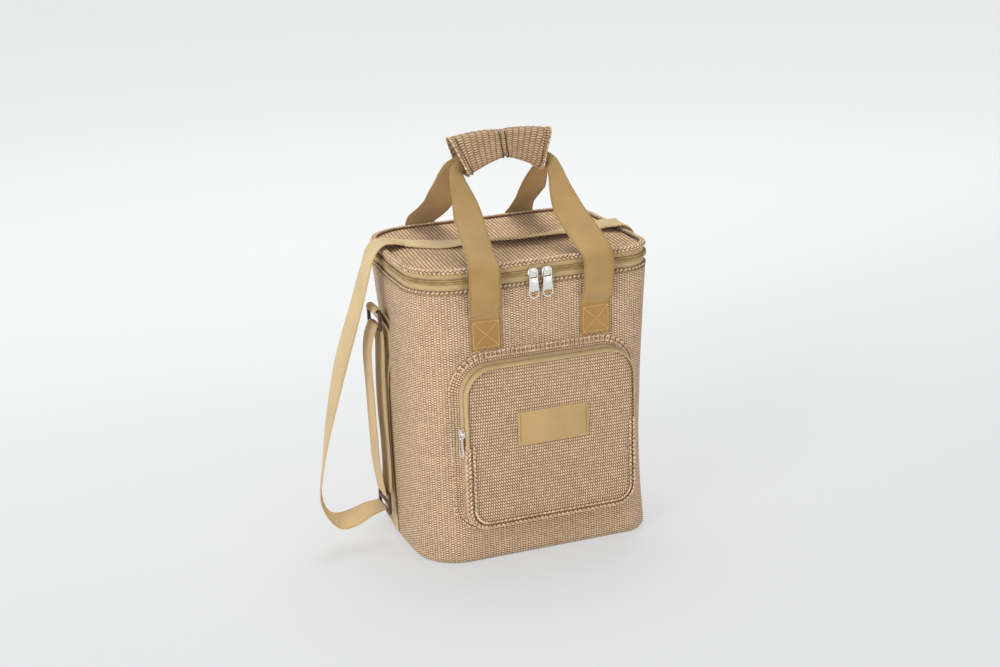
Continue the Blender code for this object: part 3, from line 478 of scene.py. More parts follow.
def set_back(x, height):
    """How far the wall curves back behind the flat front beside the pocket."""
    if x < 0:
        over, radius = FRONT_LEFT[0] - x, LEFT_ROUND
    else:
        over, radius = x + sunk(x, -100, height) - FRONT_RIGHT[0], RIGHT_ROUND
    return radius - math.sqrt(radius ** 2 - max(over, 0.0) ** 2)


def thread_line(start, end, out, count):
    """Stitch places along a straight seam."""
    step = (end - start) / count
    return [laid(start + step * (index + 0.5), step, out) for index in range(count)]


def seam_step(at, distance, out, level):
    """A point on a seam, the way on from it and the outward normal there; at gives points and normals."""
    point, normal = at(distance, out, level)
    return point, at(distance + 1, out, level)[0] - point, normal


def sewn_lines(corners, lines, out):
    """Stitch places along lines between numbered corners of a sewn box."""
    return [place for first, second, count in lines
            for place in thread_line(corners[first], corners[second], out, count)]


# Body

def make_wall():
    """The woven wall, its rounded hem and its base, with the padding and board inside them."""
    hem_length = math.pi / 2 * HEM
    rise = WALL_TOP - HEM

    def place(around, up):
        travel = up * (hem_length + rise)
        if travel < hem_length:
            turn = travel / HEM
            offset, height = -HEM + HEM * math.sin(turn), HEM - HEM * math.cos(turn)
        else:
            offset, height = 0.0, HEM + travel - hem_length
        return bag_spot(around, offset, height), (around * BAG_ROUND * BODY_REPEATS, travel)
    thicken(add_piece("woven_wall", loft(200, 64, place), "body", "bag", ["outer_shell"]), CLOTH)

    def base_place(around, inward):
        spot = bag_spot(around, -HEM - 0.2, 0.0) * (1 - inward)
        return Vector((spot.x, spot.y, 0.1)), (spot.x, spot.y)
    thicken(add_piece("woven_base", loft(120, 6, base_place), "body", "bag", ["base_panel"]), 1.3, 1.0)

    outer, inner = -1.9, -8.9
    heights = [9 + 27.9 * step for step in range(11)]
    section = [(outer, height) for height in heights] + [(inner, height) for height in reversed(heights)]

    def foam_place(around, about):
        offset, height = section[round(about * len(section)) % len(section)]
        return bag_spot(around, offset, height), (around * BAG_ROUND, about * 600)
    add_piece("wall_padding", loft(140, len(section), foam_place, closed=True), "foam", "bag", ["wall_foam"])
    for name, look, node, low, high in (("base_padding", "foam", "base_foam", 5.2, 9.9),
                                        ("base_stiffener", "board", "base_board", 1.8, 4.8)):
        levels = [(0.0, high), (0.5, high), (1.0, high), (1.0, low), (0.5, low), (0.0, low)]

        def slab_place(around, about, levels=levels):
            reach, height = levels[round(about * 5)]
            rim = bag_spot(around, -12, 0)
            return Vector((rim.x * reach, rim.y * reach, height)), (around * BAG_ROUND, about * 200)
        add_piece(name, loft(100, 5, slab_place, closed=True), look, "bag", [node])


def make_liner():
    """The foil lining: rim, crinkled walls and floor in one skin."""
    section = [(-3.2, 289.8), (-9.2, 289.8), (-9.4, 280), (-9.4, 18), (-11, 12), (-16, 10.4)]
    steps = [0.0]
    for first, second in zip(section, section[1:]):
        steps.append(steps[-1] + math.dist(first, second))

    def place(around, down):
        reach = down * 1.25
        if reach <= 1:
            travel = reach * steps[-1]
            index = max(number for number in range(len(section) - 1) if steps[number] <= travel)
            share = (travel - steps[index]) / (steps[index + 1] - steps[index])
            offset, height = (first + (second - first) * share
                              for first, second in zip(section[index], section[index + 1]))
            point, normal = bag_at(-around * BAG_ROUND, offset, height)
            crinkle = noise.noise(point / 14) * 0.5 - 0.2
            return point + normal * min(crinkle, 0.1), (point.x, height)
        spot = bag_spot(-around, *section[-1]) * (1 - (reach - 1) / 0.25)
        return Vector((spot.x, spot.y, section[-1][1] + noise.noise(spot / 18) * 0.15)), (spot.x, spot.y)
    thicken(add_piece("foil_lining", loft(150, 60, place), "foil", "bag", ["foil_liner"]), 0.5)


def braid_row(offset, height, turn, phase, tilt=0.0, size=(5.4, 2.3, 1.7)):
    """One row of slanted plaited stitches round the bag's rim."""
    count = round(BAG_ROUND / BRAID_PITCH)
    places = []
    for index in range(count):
        point, ahead, normal = seam_step(bag_at, (index + phase) * BAG_ROUND / count, offset, height)
        out = normal * math.sin(tilt) + Z_AXIS * math.cos(tilt)
        places.append(laid(point, ahead, out, turn))
    return beads(places, size)


def ring_tube(offset, height, half_out, half_up, columns, sides=10):
    """A plain oval tube round the bag."""
    def place(around, about):
        turn = -2 * math.pi * about
        out, up = offset + half_out * math.cos(turn), height + half_up * math.sin(turn)
        return bag_spot(around, out, up), (around * BAG_ROUND, about * 10)
    return loft(columns, sides, place, closed=True)


def make_braids():
    """The plaited seams: one row round the body's top, two rows round the lid's rim, each laid over a dark
    core tube painted as the shade between the stitches.
    """
    add_piece("body_seam_shade_core", ring_tube(-0.9, 292.9, 1.1, 1.5, 140), "braid_shade_core", "bag", ["body_braid"])
    seam = braid_row(0.0, 292.9, 24, 0.0, math.radians(84), (4.6, 2.4, 1.5))
    add_piece("body_seam_stitches", seam, "braid", "bag")
    add_piece("lid_rim_shade_core", ring_tube(-3.4, 313.9, 3.4, 1.2, 140), "braid_shade_core", "lid", ["lid_braid"])
    add_piece("lid_rim_outer_row", braid_row(-1.4, 314.6, 26, 0.0, math.radians(28)), "braid", "lid")
    add_piece("lid_rim_inner_row", braid_row(-4.3, 315.0, -26, 0.5, math.radians(2)), "braid", "lid")
    add_piece("lid_rim_lower_row", braid_row(-0.2, 312.9, -20, 0.5, math.radians(80), (4.8, 2.0, 1.4)),
              "braid", "lid")


# Lid and its zip

def band(name, low, high, body, node):
    """An upright strip of zip tape round the bag."""
    def place(around, up):
        height = low + (high - low) * up
        return bag_spot(around, -1.8, height), (around * BAG_ROUND, height - low)
    thicken(add_piece(name, loft(180, 4, place), "tape", body, [node]), 0.9)


def zip_coil(name, columns, at, start, length, middle, radius, body, node):
    """A zip's coil of round, slanted turns; at gives the point at a distance, an offset and a level."""
    offset, level = middle

    def place(along, about):
        distance = start + length * along
        turn = -2 * math.pi * about
        reach = radius * (0.74 + 0.26 * abs(math.cos(math.pi * distance / COIL_PITCH + turn / 2)))
        point = at(distance, offset + reach * math.cos(turn), level + reach * math.sin(turn))[0]
        return point, (distance, about * 8)
    add_piece(name, loft(columns, 8, place, closed=True), "coil", body, [node])


def make_lid_zip():
    """The tapes and coils of the lid's zip, its sliders and pulls, and the woven hinge at its rear."""
    band("lower_tape", 284, 301.9, "bag", "lower_zip_tape")
    band("upper_tape", 305.1, 311, "lid", "upper_zip_tape")
    span = BAG_ROUND - 2 * REAR_HALF
    for word, level, body in (("lower", 302.35, "bag"), ("upper", 304.65, "lid")):
        zip_coil(f"{word}_coil", 1350, bag_at, REAR_HALF, span, (-0.3, level), 1.25, body, f"{word}_zip_coil")

    def hinge_place(across, up):
        x, height = 84 - 162 * across, 294.9 + 15.9 * up
        return Vector((x, 99.5, height)), (x, height)
    hinge = thicken(add_piece("rear_hinge", loft(60, 10, hinge_place), "body", None, ["hinge_strip"]), 0.9)
    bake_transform(hinge)
    for word, x in (("left", -8), ("right", 7)):
        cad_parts[f"{word}_slider"].data.materials[0] = looks["metal"][0]
        make_pull(f"{word}_pull", Vector((x, -104.25, 305)), 0)


def make_pull(node, hang, turn):
    """A pull tab of bright metal hanging from its bar: a rounded rim, its plate, an eye and a window."""
    rim = [Vector((radius * math.cos(math.radians(angle)), 0, level + radius * math.sin(math.radians(angle))))
           for radius, level, first in ((3.9, -3.2, 0), (5.0, -22.4, 180))
           for angle in range(first, first + 181, 15)]
    count = len(rim)

    def place(along, about):
        index = round(along * count) % count
        ahead = (rim[(index + 1) % count] - rim[index - 1]).normalized()
        roll = 2 * math.pi * about
        side = ahead.cross(Y_AXIS)
        return rim[index] + side * 0.7 * math.cos(roll) + Y_AXIS * 0.75 * math.sin(roll), (0, 0)
    shape = loft(count, 8, place, closed=True)
    for low, high, width in ((-20.4, -7.2, 9.0), (0.0, 0.9, 5.2)):
        block(shape, (0, 0, (low + high) / 2), (width, 1.1, high - low), 0.3)
    bmesh.ops.rotate(shape, verts=shape.verts, matrix=Matrix.Rotation(math.radians(turn), 3, "Z"))
    bmesh.ops.translate(shape, verts=shape.verts, vec=hang)
    add_piece(f"{node}_tab", shape, "metal", f"{node}_body", [node], crease=40)


def make_lid():
    """The woven lid and its padded foil underside."""
    def top(around, inward):
        spot = bag_spot(around, -0.2, 0.0) * (1 - inward)
        ripple = noise.noise(Vector((spot.x, spot.y, 0)) / 40) * 0.25 * min(1.0, inward * 4)
        return Vector((spot.x, spot.y, LID_TOP + ripple)), (spot.x, spot.y)
    # Its weave is tinted darker: painted shade for the handle's shadow.
    thicken(add_piece("woven_lid", loft(150, 30, top), "lid", "lid", ["lid_panel"]), CLOTH)

    rounding, lining_out = 1.4, -6.6

    def under(around, inward):
        if inward < 0.1:
            height = 310.6 - inward / 0.1 * 4.6
            return bag_spot(-around, -5.2, height), (around * BAG_ROUND, height)
        if inward < 0.2:
            turn = (inward - 0.1) / 0.1 * math.pi / 2
            height = LID_UNDER + rounding - rounding * math.sin(turn)
            out = lining_out + rounding * math.cos(turn)
            return bag_spot(-around, out, height), (around * BAG_ROUND, height)
        share = (inward - 0.2) / 0.8
        spot = bag_spot(-around, lining_out, LID_UNDER) * (1 - share)
        quilt = abs(math.sin(spot.x / 26 * math.pi / 2)) * abs(math.sin(spot.y / 26 * math.pi / 2))
        sink = 0.6 * (1 - quilt) * min(1.0, share * 5) + noise.noise(spot / 15) * 0.15
        return Vector((spot.x, spot.y, LID_UNDER + sink)), (spot.x, spot.y)
    lining = add_piece("lid_lining", loft(150, 60, under), "foil", "lid", ["lid_liner", "lid_foam"])


# Pocket

POCKET_TOP, POCKET_SHOULDER, POCKET_CORNER = 124, 187, 30
POCKET_RUNS = outline_runs([((-60, POCKET_SHOULDER), POCKET_CORNER, 90), ((-68, 68), 22, 180),
                            ((72, 68), 22, 270), ((64, POCKET_SHOULDER), POCKET_CORNER, 0)])
POCKET_ROUND = sum(length for length, run in POCKET_RUNS)
POCKET_MIDDLE = Vector((2, 131))


def pocket_at(distance, out, depth):
    """A point round the pocket, counted from its top left, and its outward normal."""
    point, normal = on_outline(POCKET_RUNS, distance)
    spot = point + normal * out
    return Vector((spot.x, -depth, spot.y)), Vector((normal.x, 0, normal.y))


def gusset_out(depth):
    """How far out the gusset stands at a depth, from its flange forward."""
    section = [(99, 9.4), (101.2, 9.0), (102.2, 3.4), (104.4, 1.0), (107.5, 0.2), (122, 0.0)]
    for (near, first), (far, last) in zip(section, section[1:]):
        if depth <= far:
            return first + (last - first) * (depth - near) / (far - near)
    return 0.0


def flange_reach(normal):
    """How much of its width the flange shows: most along its top and left, least at its foot and right."""
    return 1 + 0.2 * normal.z - 0.15 * normal.x


def pocket_stretch(low_height):
    """The distances at which the pocket's outline passes a height on its left and its right side."""
    quarter = math.pi / 2 * POCKET_CORNER
    left = quarter + POCKET_SHOULDER - low_height
    right = POCKET_ROUND - (POCKET_TOP + quarter + POCKET_SHOULDER - low_height)
    return left, right


def make_pocket():
    """The gusset, the puffed front in one cloth over the fold, the zip, the rolled edge and the flange."""
    def gusset(around, ahead):
        distance = around * POCKET_ROUND
        edge, normal = pocket_at(distance, 0, 0)
        front = 119.4 - 11.2 * ease((edge.z - POCKET_FOLD) / 6)
        depth = 100.6 + (front - 100.6) * ahead ** 1.6
        out = gusset_out(depth) * flange_reach(normal)
        point = pocket_at(distance, out, depth)[0]
        return point + Y_AXIS * set_back(point.x, point.z) * (1 - ahead) ** 2, (distance, depth - out)
    thicken(add_piece("pocket_side", loft(220, 16, gusset), "pocket", "bag", ["pocket_gusset"]), 1.3)

    def front(around, inward):
        edge = pocket_at(around * POCKET_ROUND, 0.3, 0)[0]
        middle = Vector((POCKET_MIDDLE.x, 0, POCKET_MIDDLE.y))
        spot = edge.lerp(middle, inward)
        puff = 1.0 * ease(inward * 3.5) + noise.noise(spot / 60) * 0.35 * min(1.0, inward * 5)
        tuck = 1.6 * (1 - ease(inward * 16))
        return Vector((spot.x, -POCKET_FRONT - puff + tuck, spot.z)), (spot.x, spot.z)
    panel = add_piece("pocket_front", loft(220, 40, front), "pocket", None, ["pocket_panel", "pocket_flap"])
    thicken(panel, 1.2)
    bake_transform(panel)

    zip_left, zip_right = pocket_stretch(133)
    span = POCKET_ROUND - zip_right + zip_left

    def tape(name, section, body, node):
        def place(along, ahead):
            distance = zip_right + span * along
            out, depth = section[round(ahead * (len(section) - 1))]
            point, normal = pocket_at(distance, out, depth)
            back = set_back(point.x, point.z) * ease((106 - depth) / 5)
            return point + Y_AXIS * back, (distance, depth - out)
        thicken(add_piece(name, loft(140, len(section) - 1, place), "tape", body, [node]), 0.8)
    tape("pocket_inner_tape",
         [(gusset_out(depth) + 0.9, depth) for depth in (105.5, 107, 108, 109.5, 111, 112.4)],
         "bag", "pocket_rear_tape")
    tape("pocket_outer_tape",
         [(0.2, 113.8), (0.9, 116.4), (0.9, 119.4), (0.3, 120.9), (-0.6, 121.7), (-1.6, 121.7)],
         "pocket_flap_body", "pocket_flap_tape")
    for word, depth, body, node in (("inner", 112.0, "bag", "pocket_rear_coil"),
                                    ("outer", 114.2, "pocket_flap_body", "pocket_flap_coil")):
        zip_coil(f"pocket_{word}_coil", 640, pocket_at, zip_right, span, (-0.1, depth), 1.2, body, node)

    rows, dashes = [], []
    count = round(POCKET_ROUND / BRAID_PITCH)
    for index in range(count):
        for phase, width, turn in ((0.0, 8.4, 14), (0.0, 4.4, -14), (0.5, 6.4, 0)):
            distance = (index + phase) * POCKET_ROUND / count
            normal = pocket_at(distance, 0, 0)[1]
            out = width * flange_reach(normal)
            point, ahead, normal = seam_step(pocket_at, distance, out, FLANGE_FACE)
            point.y += set_back(point.x, point.z)
            (rows if turn else dashes).append(laid(point, ahead, -Y_AXIS + normal * 0.3, turn))
    add_piece("pocket_flange_rows", beads(rows, (5.0, 2.9, 1.3)), "braid", "bag")
    add_piece("pocket_flange_dashes", beads(dashes, (2.4, 0.8, 1.1)), "dark_thread", "bag")

    rolled, seam = [], []
    low_left, low_right = pocket_stretch(136)
    length = low_right - low_left
    count = round(length / BRAID_PITCH)
    chains = ((0.8, 115.6, -26, 2.3), (0.9, 118.3, 26, 0.0), (-1.5, 120.7, -26, 2.3), (-6.0, 121.7, 26, 0.0))
    for index in range(count + 1):
        distance = low_left + length * index / count
        for out, depth, turn, shift in chains:
            point, ahead, normal = seam_step(pocket_at, distance + shift, out, depth)
            rolled.append(laid(point, ahead, -Y_AXIS + normal * 0.8, turn))
        point, ahead, normal = seam_step(pocket_at, distance, -3.8, 121.5)
        seam.append(laid(point, ahead, -Y_AXIS))
    add_piece("pocket_rolled_edge", beads(rolled, (5.4, 2.6, 2.0)), "braid", "bag")
    add_piece("pocket_edge_stitches", beads(seam, (3.0, 0.9, 0.7)), "dark_thread", "bag")

    patch = bmesh.new()
    block(patch, (2.5, -121.75, 148), (78, 0.9, 36), 0.35)
    weave = patch.loops.layers.uv.new("weave")
    for face in patch.faces:
        for loop in face.loops:
            loop[weave].uv = (loop.vert.co.x, loop.vert.co.z)
    add_piece("bare_patch", patch, "patch", "pocket_flap_body", ["pocket_patch"])
    threads = []
    for x in (-33.5, 38.5):
        threads += thread_line(Vector((x, -122.3, 132.5)), Vector((x, -122.3, 163.5)), -Y_AXIS, 15)
    add_piece("patch_stitches", beads(threads, (1.5, 0.6, 0.5)), "dark_thread", "pocket_flap_body")
    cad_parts["pocket_slider"].data.materials[0] = looks["metal"][0]
    make_pull("pocket_pull", Vector((-94.25, -113.1, 151.5)), 90)


# Webbing

def smooth_route(points, steps):
    """A smooth curve through the points of a route, with steps to each stretch."""
    padded = [points[0] * 2 - points[1], *points, points[-1] * 2 - points[-2]]
    route = []
    for index in range(1, len(padded) - 2):
        before, start, end, after = padded[index - 1:index + 3]
        for step in range(steps):
            part = step / steps
            route.append(0.5 * (2 * start + (end - before) * part
                                + (2 * before - 5 * start + 4 * end - after) * part ** 2
                                + (3 * start - before - 3 * end + after) * part ** 3))
    return route + [points[-1]]


def ribbon(points, across, sizes):
    """Webbing along points: its width along across, its thickness and width from sizes, its edges rounded."""
    frames = []
    travel = 0.0
    for index, point in enumerate(points):
        ahead = points[min(index + 1, len(points) - 1)]
        behind = points[max(index - 1, 0)]
        tangent = (ahead - behind).normalized()
        width = Vector(across[index])
        width = (width - tangent * width.dot(tangent)).normalized()
        if index:
            travel += (point - points[index - 1]).length
        frames.append((point, tangent.cross(width).normalized(), width, travel))
    real_width = max(width for thickness, width in sizes)
    spans = 12
    profile = [(side, -1 + 2 * step / spans) for side in (1, -1) for step in range(spans + 1)]

    def place(along, about):
        index = round(along * (len(frames) - 1))
        corner = round(about * len(profile)) % len(profile)
        side, share = profile[corner]
        share *= side
        point, out, width, travelled = frames[index]
        thickness, wide = sizes[index]
        edge = 1.0 if abs(share) < 0.99 else 0.45
        spot = point + out * side * edge * thickness / 2 + width * share * wide / 2
        return spot, (travelled, share * real_width / 2)
    return loft(len(frames) - 1, len(profile), place, closed=True)


def grip_line(across):
    """A point on the grip's arched centre line, and its upward normal."""
    low, arch = 405, 10
    slope = 2 * arch * across / GRIP_HALF ** 2
    point = Vector((across, 0, low + arch * (1 - (across / GRIP_HALF) ** 2)))
    return point, Vector((slope, 0, 1)).normalized()


def web_line():
    """The folded web's line through the rear half of the grip, and its normals."""
    places, normals = [], []
    for step in range(21):
        share = 0.92 * (2 * step / 20 - 1)
        point, normal = grip_line(GRIP_HALF * share)
        places.append(point - normal * (3 + 5 * share * share) + Y_AXIS * 5)
        normals.append(normal)
    return places, normals


LEG_ROUTE = [(ANCHOR_OUT, ANCHOR_FACE, 262.7), (ANCHOR_OUT, ANCHOR_FACE, 266.7), (60.3, 103.6, 271),
             (60.9, 106.6, 277), (61.3, 108.0, 286), (61.5, 108.8, 297), (61.5, 108.8, 307),
             (61.2, 107.2, 314), (60.4, 101, 320.5), (58.5, 86, 329), (56.3, 68, 339), (54.3, 51, 350),
             (53.2, 36.5, 365), (53.6, 23, 380), (53.6, 19.5, 384), (52.6, 13, 391), (49.6, 8.5, 395.3)]


def make_handle(word, facing):
    """One webbing handle in a single run, leg, grip and leg, with its two sewn anchors.

    The rear one's left leg stands a little further in than the other three.
    """
    run, normals = web_line()
    climb = smooth_route([Vector(place) for place in LEG_ROUTE] + [run[-1]], 4)[:-1]

    def leg(side):
        ends = [Vector((side * point.x, point.y, point.z)) for point in [*climb, run[-1]]]
        steps = [after - before for before, after in zip([ends[0], *ends], ends[1:])]
        widths = [Vector((step.x, step.y * facing, step.z)).cross(-Y_AXIS) * side for step in steps]
        return ends[:-1], widths
    left, left_widths = leg(-1)
    right, right_widths = leg(1)
    points = left + run + right[::-1]
    across = left_widths + normals + right_widths[::-1]
    if facing > 0:
        inward = 6
        points = [point + X_AXIS * inward * (point.x < 0) * ease((point.z - 285) / 25)
                  * ease((370 - point.z) / 40) for point in points]
    points = [Vector((point.x, facing * point.y, point.z)) for point in points]
    folds = [ease((point.z - 345) / 55) for point in points]
    sizes = [(2 * (1 + fold), WEBBING_WIDTH + (FOLDED_WIDTH - WEBBING_WIDTH) * fold) for fold in folds]
    shape = ribbon(points, across, sizes)
    name = f"{word}_handle_webbing"
    stands_for = [f"{word}_left_leg", f"{word}_right_leg", f"{word}_web_run"]
    strap = add_piece(name, shape, "handle", None, stands_for, crease=50)
    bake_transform(strap)

    out = Y_AXIS * facing
    for side, hand in ((-1, "left"), (1, "right")):
        middle = side * ANCHOR_OUT
        points = [Vector((middle, facing * ANCHOR_FACE, 230.6 + step * 2.46)) for step in range(14)]
        tab = ribbon(points, [X_AXIS] * len(points), [(2.0, WEBBING_WIDTH)] * len(points))
        add_piece(f"{word}_{hand}_tab", tab, "tab", "bag", [f"{word}_{hand}_anchor"], crease=50)
        low, high, half = 233.4, 259.6, 13.6
        corners = [Vector((middle + x * half, facing * (ANCHOR_FACE + 1.15), z))
                   for x, z in ((-1, low), (1, low), (1, high), (-1, high))]
        box_and_cross = ((0, 1, 11), (1, 2, 11), (2, 3, 11), (3, 0, 11), (0, 2, 15), (1, 3, 15))
        threads = sewn_lines(corners, box_and_cross, out)
        add_piece(f"{word}_{hand}_stitches", beads(threads, (1.9, 1.0, 0.7)), "thread", "bag")


def even_route(points, count):
    """A smooth curve through points, cut into even stretches."""
    route = smooth_route(points, 12)
    travelled = [0.0]
    for first, second in zip(route, route[1:]):
        travelled.append(travelled[-1] + (second - first).length)
    even = []
    for step in range(count + 1):
        goal = travelled[-1] * step / count
        index = max(number for number in range(len(route) - 1) if travelled[number] <= goal)
        share = (goal - travelled[index]) / (travelled[index + 1] - travelled[index])
        even.append(route[index].lerp(route[index + 1], share))
    return even, travelled[-1]


WRAP_SECTION = [(0.1, 19.3), (4.4, 18.9), (7.8, 15.8), (10.4, 8.5), (13.2, 0.5), (15.8, -7.5), (17.9, -13.6),
                (17.0, -17.8), (12.5, -19.3), (6, -19.5), (0.1, -19.5)]
WRAP_PROFILE, WRAP_LENGTH = even_route([Vector((out, 0, rise)) for out, rise in WRAP_SECTION], 26)
WRAP_DEEP, WRAP_HIGH = 18.2, 19.5


def wrap_skin(across, facing, wall, about):
    """A point on the wrap: narrow top, flat leaning front and full foot, pinched in the middle.

    wall is the depth below its skin, about the share of the way from its top ridge to its foot.
    """
    share = abs(across) / GRIP_HALF
    pinch = wall + 0.9 * math.exp(-(across / 3.0) ** 2)
    at = min(max(about, 0.0), 1.0) * (len(WRAP_PROFILE) - 1)
    low = min(int(at), len(WRAP_PROFILE) - 2)
    spot = WRAP_PROFILE[low].lerp(WRAP_PROFILE[low + 1], at - low)
    deep = 1 - pinch / WRAP_DEEP
    point, normal = grip_line(across)
    rise = spot.z * (1 - (5 * (1 - share) + pinch) / WRAP_HIGH)
    if rise > 0:
        rise *= 1 + 3 * share ** 2 / WRAP_HIGH
    else:
        rise *= 1 - 4 * (1 - share) ** 2 / WRAP_HIGH
    return point + Y_AXIS * facing * (0.1 + spot.x * deep) + normal * rise


def wrap_stitch(across, facing, about, turn=0.0):
    """A stitch's place on the wrap, its length up the wrap."""
    here, after = (wrap_skin(across, facing, -0.6, spot) for spot in (about, about + 0.02))
    along = wrap_skin(across + 1, facing, -0.6, about) - here
    out = (after - here).cross(along)
    if out.dot(Y_AXIS * facing + Z_AXIS * (0.5 - about)) < 0:
        out = -out
    return laid(here, after - here, out, turn)


def make_grip():
    """The wrap round both webs: straw cloth over padding, pinched in its middle and sewn near its ends."""
    around = len(WRAP_PROFILE) - 1
    last = 2 * around + 1
    for name, facing, body, node in (("wrap_back", 1, "rear_handle", "grip_back"),
                                     ("wrap_front", -1, "grip_wrap", "grip_flap")):
        def place(along, about, facing=facing):
            across = GRIP_HALF * (2 * along - 1)
            index = round(about * last) % last
            if index <= around:
                return wrap_skin(across, facing, 0.0, index / around), (across, index / around * WRAP_LENGTH)
            return wrap_skin(across, facing, 3.2, (last - 1 - index) / (around - 1)), (across, 100 + index)
        wrap = add_piece(name, loft(96, last, place, closed=True), "wrap", body, [node])
        spots = [0.12 + 0.66 * step / 15 for step in range(16)]
        seams = (5 - GRIP_HALF, GRIP_HALF - 5, -2.8, 2.8)
        threads = [wrap_stitch(across, facing, spot) for across in seams for spot in spots]
        add_piece(name + "_stitches", beads(threads, (2.4, 1.5, 1.3)), "dark_thread", body)
        ends = (0.8 - GRIP_HALF, GRIP_HALF - 0.8)
        rims = [wrap_stitch(across, facing, (step + 0.5) / 13, 16) for across in ends for step in range(13)]
        if facing < 0:
            for across in range(3 - GRIP_HALF, GRIP_HALF, 6):
                rims.append(laid(wrap_skin(across, facing, -0.4, 0.0), X_AXIS, grip_line(across)[1], 14))
        add_piece(name + "_rims", beads(rims, (5.4, 2.2, 1.5)), "braid", body)


def eased_route(points, widths, steps):
    """A smooth route through points, with the width direction eased between them."""
    route = smooth_route(points, steps)
    spans = len(points) - 1
    across = []
    for index in range(len(route)):
        at = index / (len(route) - 1) * spans
        low = min(int(at), spans - 1)
        across.append(Vector(widths[low]).lerp(Vector(widths[low + 1]), at - low))
    return route, across


def strap_piece(name, route, across, body=None, stands_for=()):
    """One piece of shoulder strap."""
    shape = ribbon(route, across, [(1.6, STRAP_WIDTH)] * len(route))
    return add_piece(name, shape, "strap", body, stands_for, crease=50)


# Places on the shoulder strap with the way its width lies there.
FLAT = (0, 1, 0)
STRAP_LOOP = [((-146.1, 0, 40.5), FLAT), ((-163, 0, 37), (0, 1, 0.12)), ((-179, 0, 31), (0, 1, 0.24)),
              ((-196, 0, 30), (0, 1, 0.26)), ((-208, 0, 42), (0.15, 1, 0.1)), ((-213, 0, 63), (0.3, 1, 0)),
              ((-209, 0, 92), (0.28, 1, 0)), ((-201, 0, 133), (0.1, 1, 0)),
              ((-193, 0, 165), (-0.03, 1, 0)), ((-183, 0, 202), (-0.15, 1, 0)),
              ((-171, 0, 238), (-0.15, 1, 0)), ((-161, 3, 264), (-0.1, 1, 0)),
              ((-152, 8, 287), (-0.06, 1, 0)), ((-145.5, 12.5, 302), FLAT), ((-138.5, 17, 313.5), FLAT),
              ((-129.5, 21.5, 319.4), FLAT)]
STRAP_RUN = [((-120, 25, 320), FLAT), ((-110.5, 28.8, 318), FLAT), ((-99, 30, 315), FLAT),
             ((-82, 20, 313.9), FLAT), ((-62, 7, 314.2), FLAT), ((-36, -4, 316.6), (0, 1, -0.15)),
             ((-8, -12, 318), (0, 1, -0.25)), ((22, -19, 318), (0, 1, -0.25)),
             ((48, -16, 317.3), (0, 1, -0.2)), ((72, -8, 315.6), (0, 1, -0.05)), ((96, -3, 315), FLAT),
             ((111, -5, 317.6), FLAT), ((122, -10, 318.8), FLAT)]
STRAP_DROP = [((129.5, -13, 318.6), FLAT), ((136.5, -12.5, 313), FLAT), ((142, -9.5, 301), FLAT),
              ((147, -5, 283), FLAT), ((150.3, -1.5, 264), FLAT), ((151, 0, 250), FLAT)]


def round_bar(height, *degrees):
    """Places, out from the middle and up, where webbing wraps one of a ring's bars."""
    turns = [math.radians(turn) for turn in degrees]
    return [(RING_OUT + BAR_WRAP * math.cos(turn), height + BAR_WRAP * math.sin(turn)) for turn in turns]


def make_strap():
    """The shoulder strap from its adjuster over the lid to the right ring, and the doubled strands."""
    stops = STRAP_LOOP + STRAP_RUN + STRAP_DROP
    stops += [((x, 0, z), FLAT) for x, z in round_bar(RING_LOW, 0, -45, -90, -135, -180)]
    points = [Vector(place) for place, width in stops]
    widths = [width for place, width in stops]
    steps = 5
    route, across = eased_route(points, widths, steps)
    cuts = [steps * 3, steps * (len(STRAP_LOOP) + 8), steps * (len(stops) - 6)]
    foot = strap_piece("strap_foot", route[:cuts[0] + 1], across[:cuts[0] + 1])
    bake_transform(foot)
    loop = strap_piece("strap_loop", route[cuts[0]:cuts[1] + 1], across[cuts[0]:cuts[1] + 1], None,
                       ["strap_left_loop", "strap_lid_run"])
    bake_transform(loop)
    drop = strap_piece("strap_drop", route[cuts[1]:cuts[2] + 1], across[cuts[1]:cuts[2] + 1], None,
                       ["strap_right_drop"])
    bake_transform(drop)
    end = strap_piece("strap_end", route[cuts[2]:], across[cuts[2]:])
    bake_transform(end)

    outer = [*round_bar(RING_LOW, 80, 40, 0), (152, 226), (154, 205), (153, 170), (152, 125), (150.6, 88),
             (146.1, 54.8)]
    inner = [*round_bar(RING_LOW, 100, 140, 180), (140, 218), (141.5, 180), (141.5, 146), (140, 112),
             (139.6, 80), (140.9, 54.8)]
    for word, strand, cut in (("outer", outer, 5), ("inner", inner, 4)):
        route = smooth_route([Vector((-x, 0, z)) for x, z in strand], steps)
        split = steps * cut
        upper = strap_piece(f"{word}_strand_upper", route[:split + 1], [Y_AXIS] * (split + 1), None,
                            [f"strap_{word}_strand"])
        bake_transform(upper)
        lower = strap_piece(f"{word}_strand_lower", route[split:], [Y_AXIS] * (len(route) - split))
        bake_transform(lower)


def wall_side(side, y, height):
    """How far out the side wall stands at a place."""
    return abs(settled(Vector((side * 130, y)), height).x)


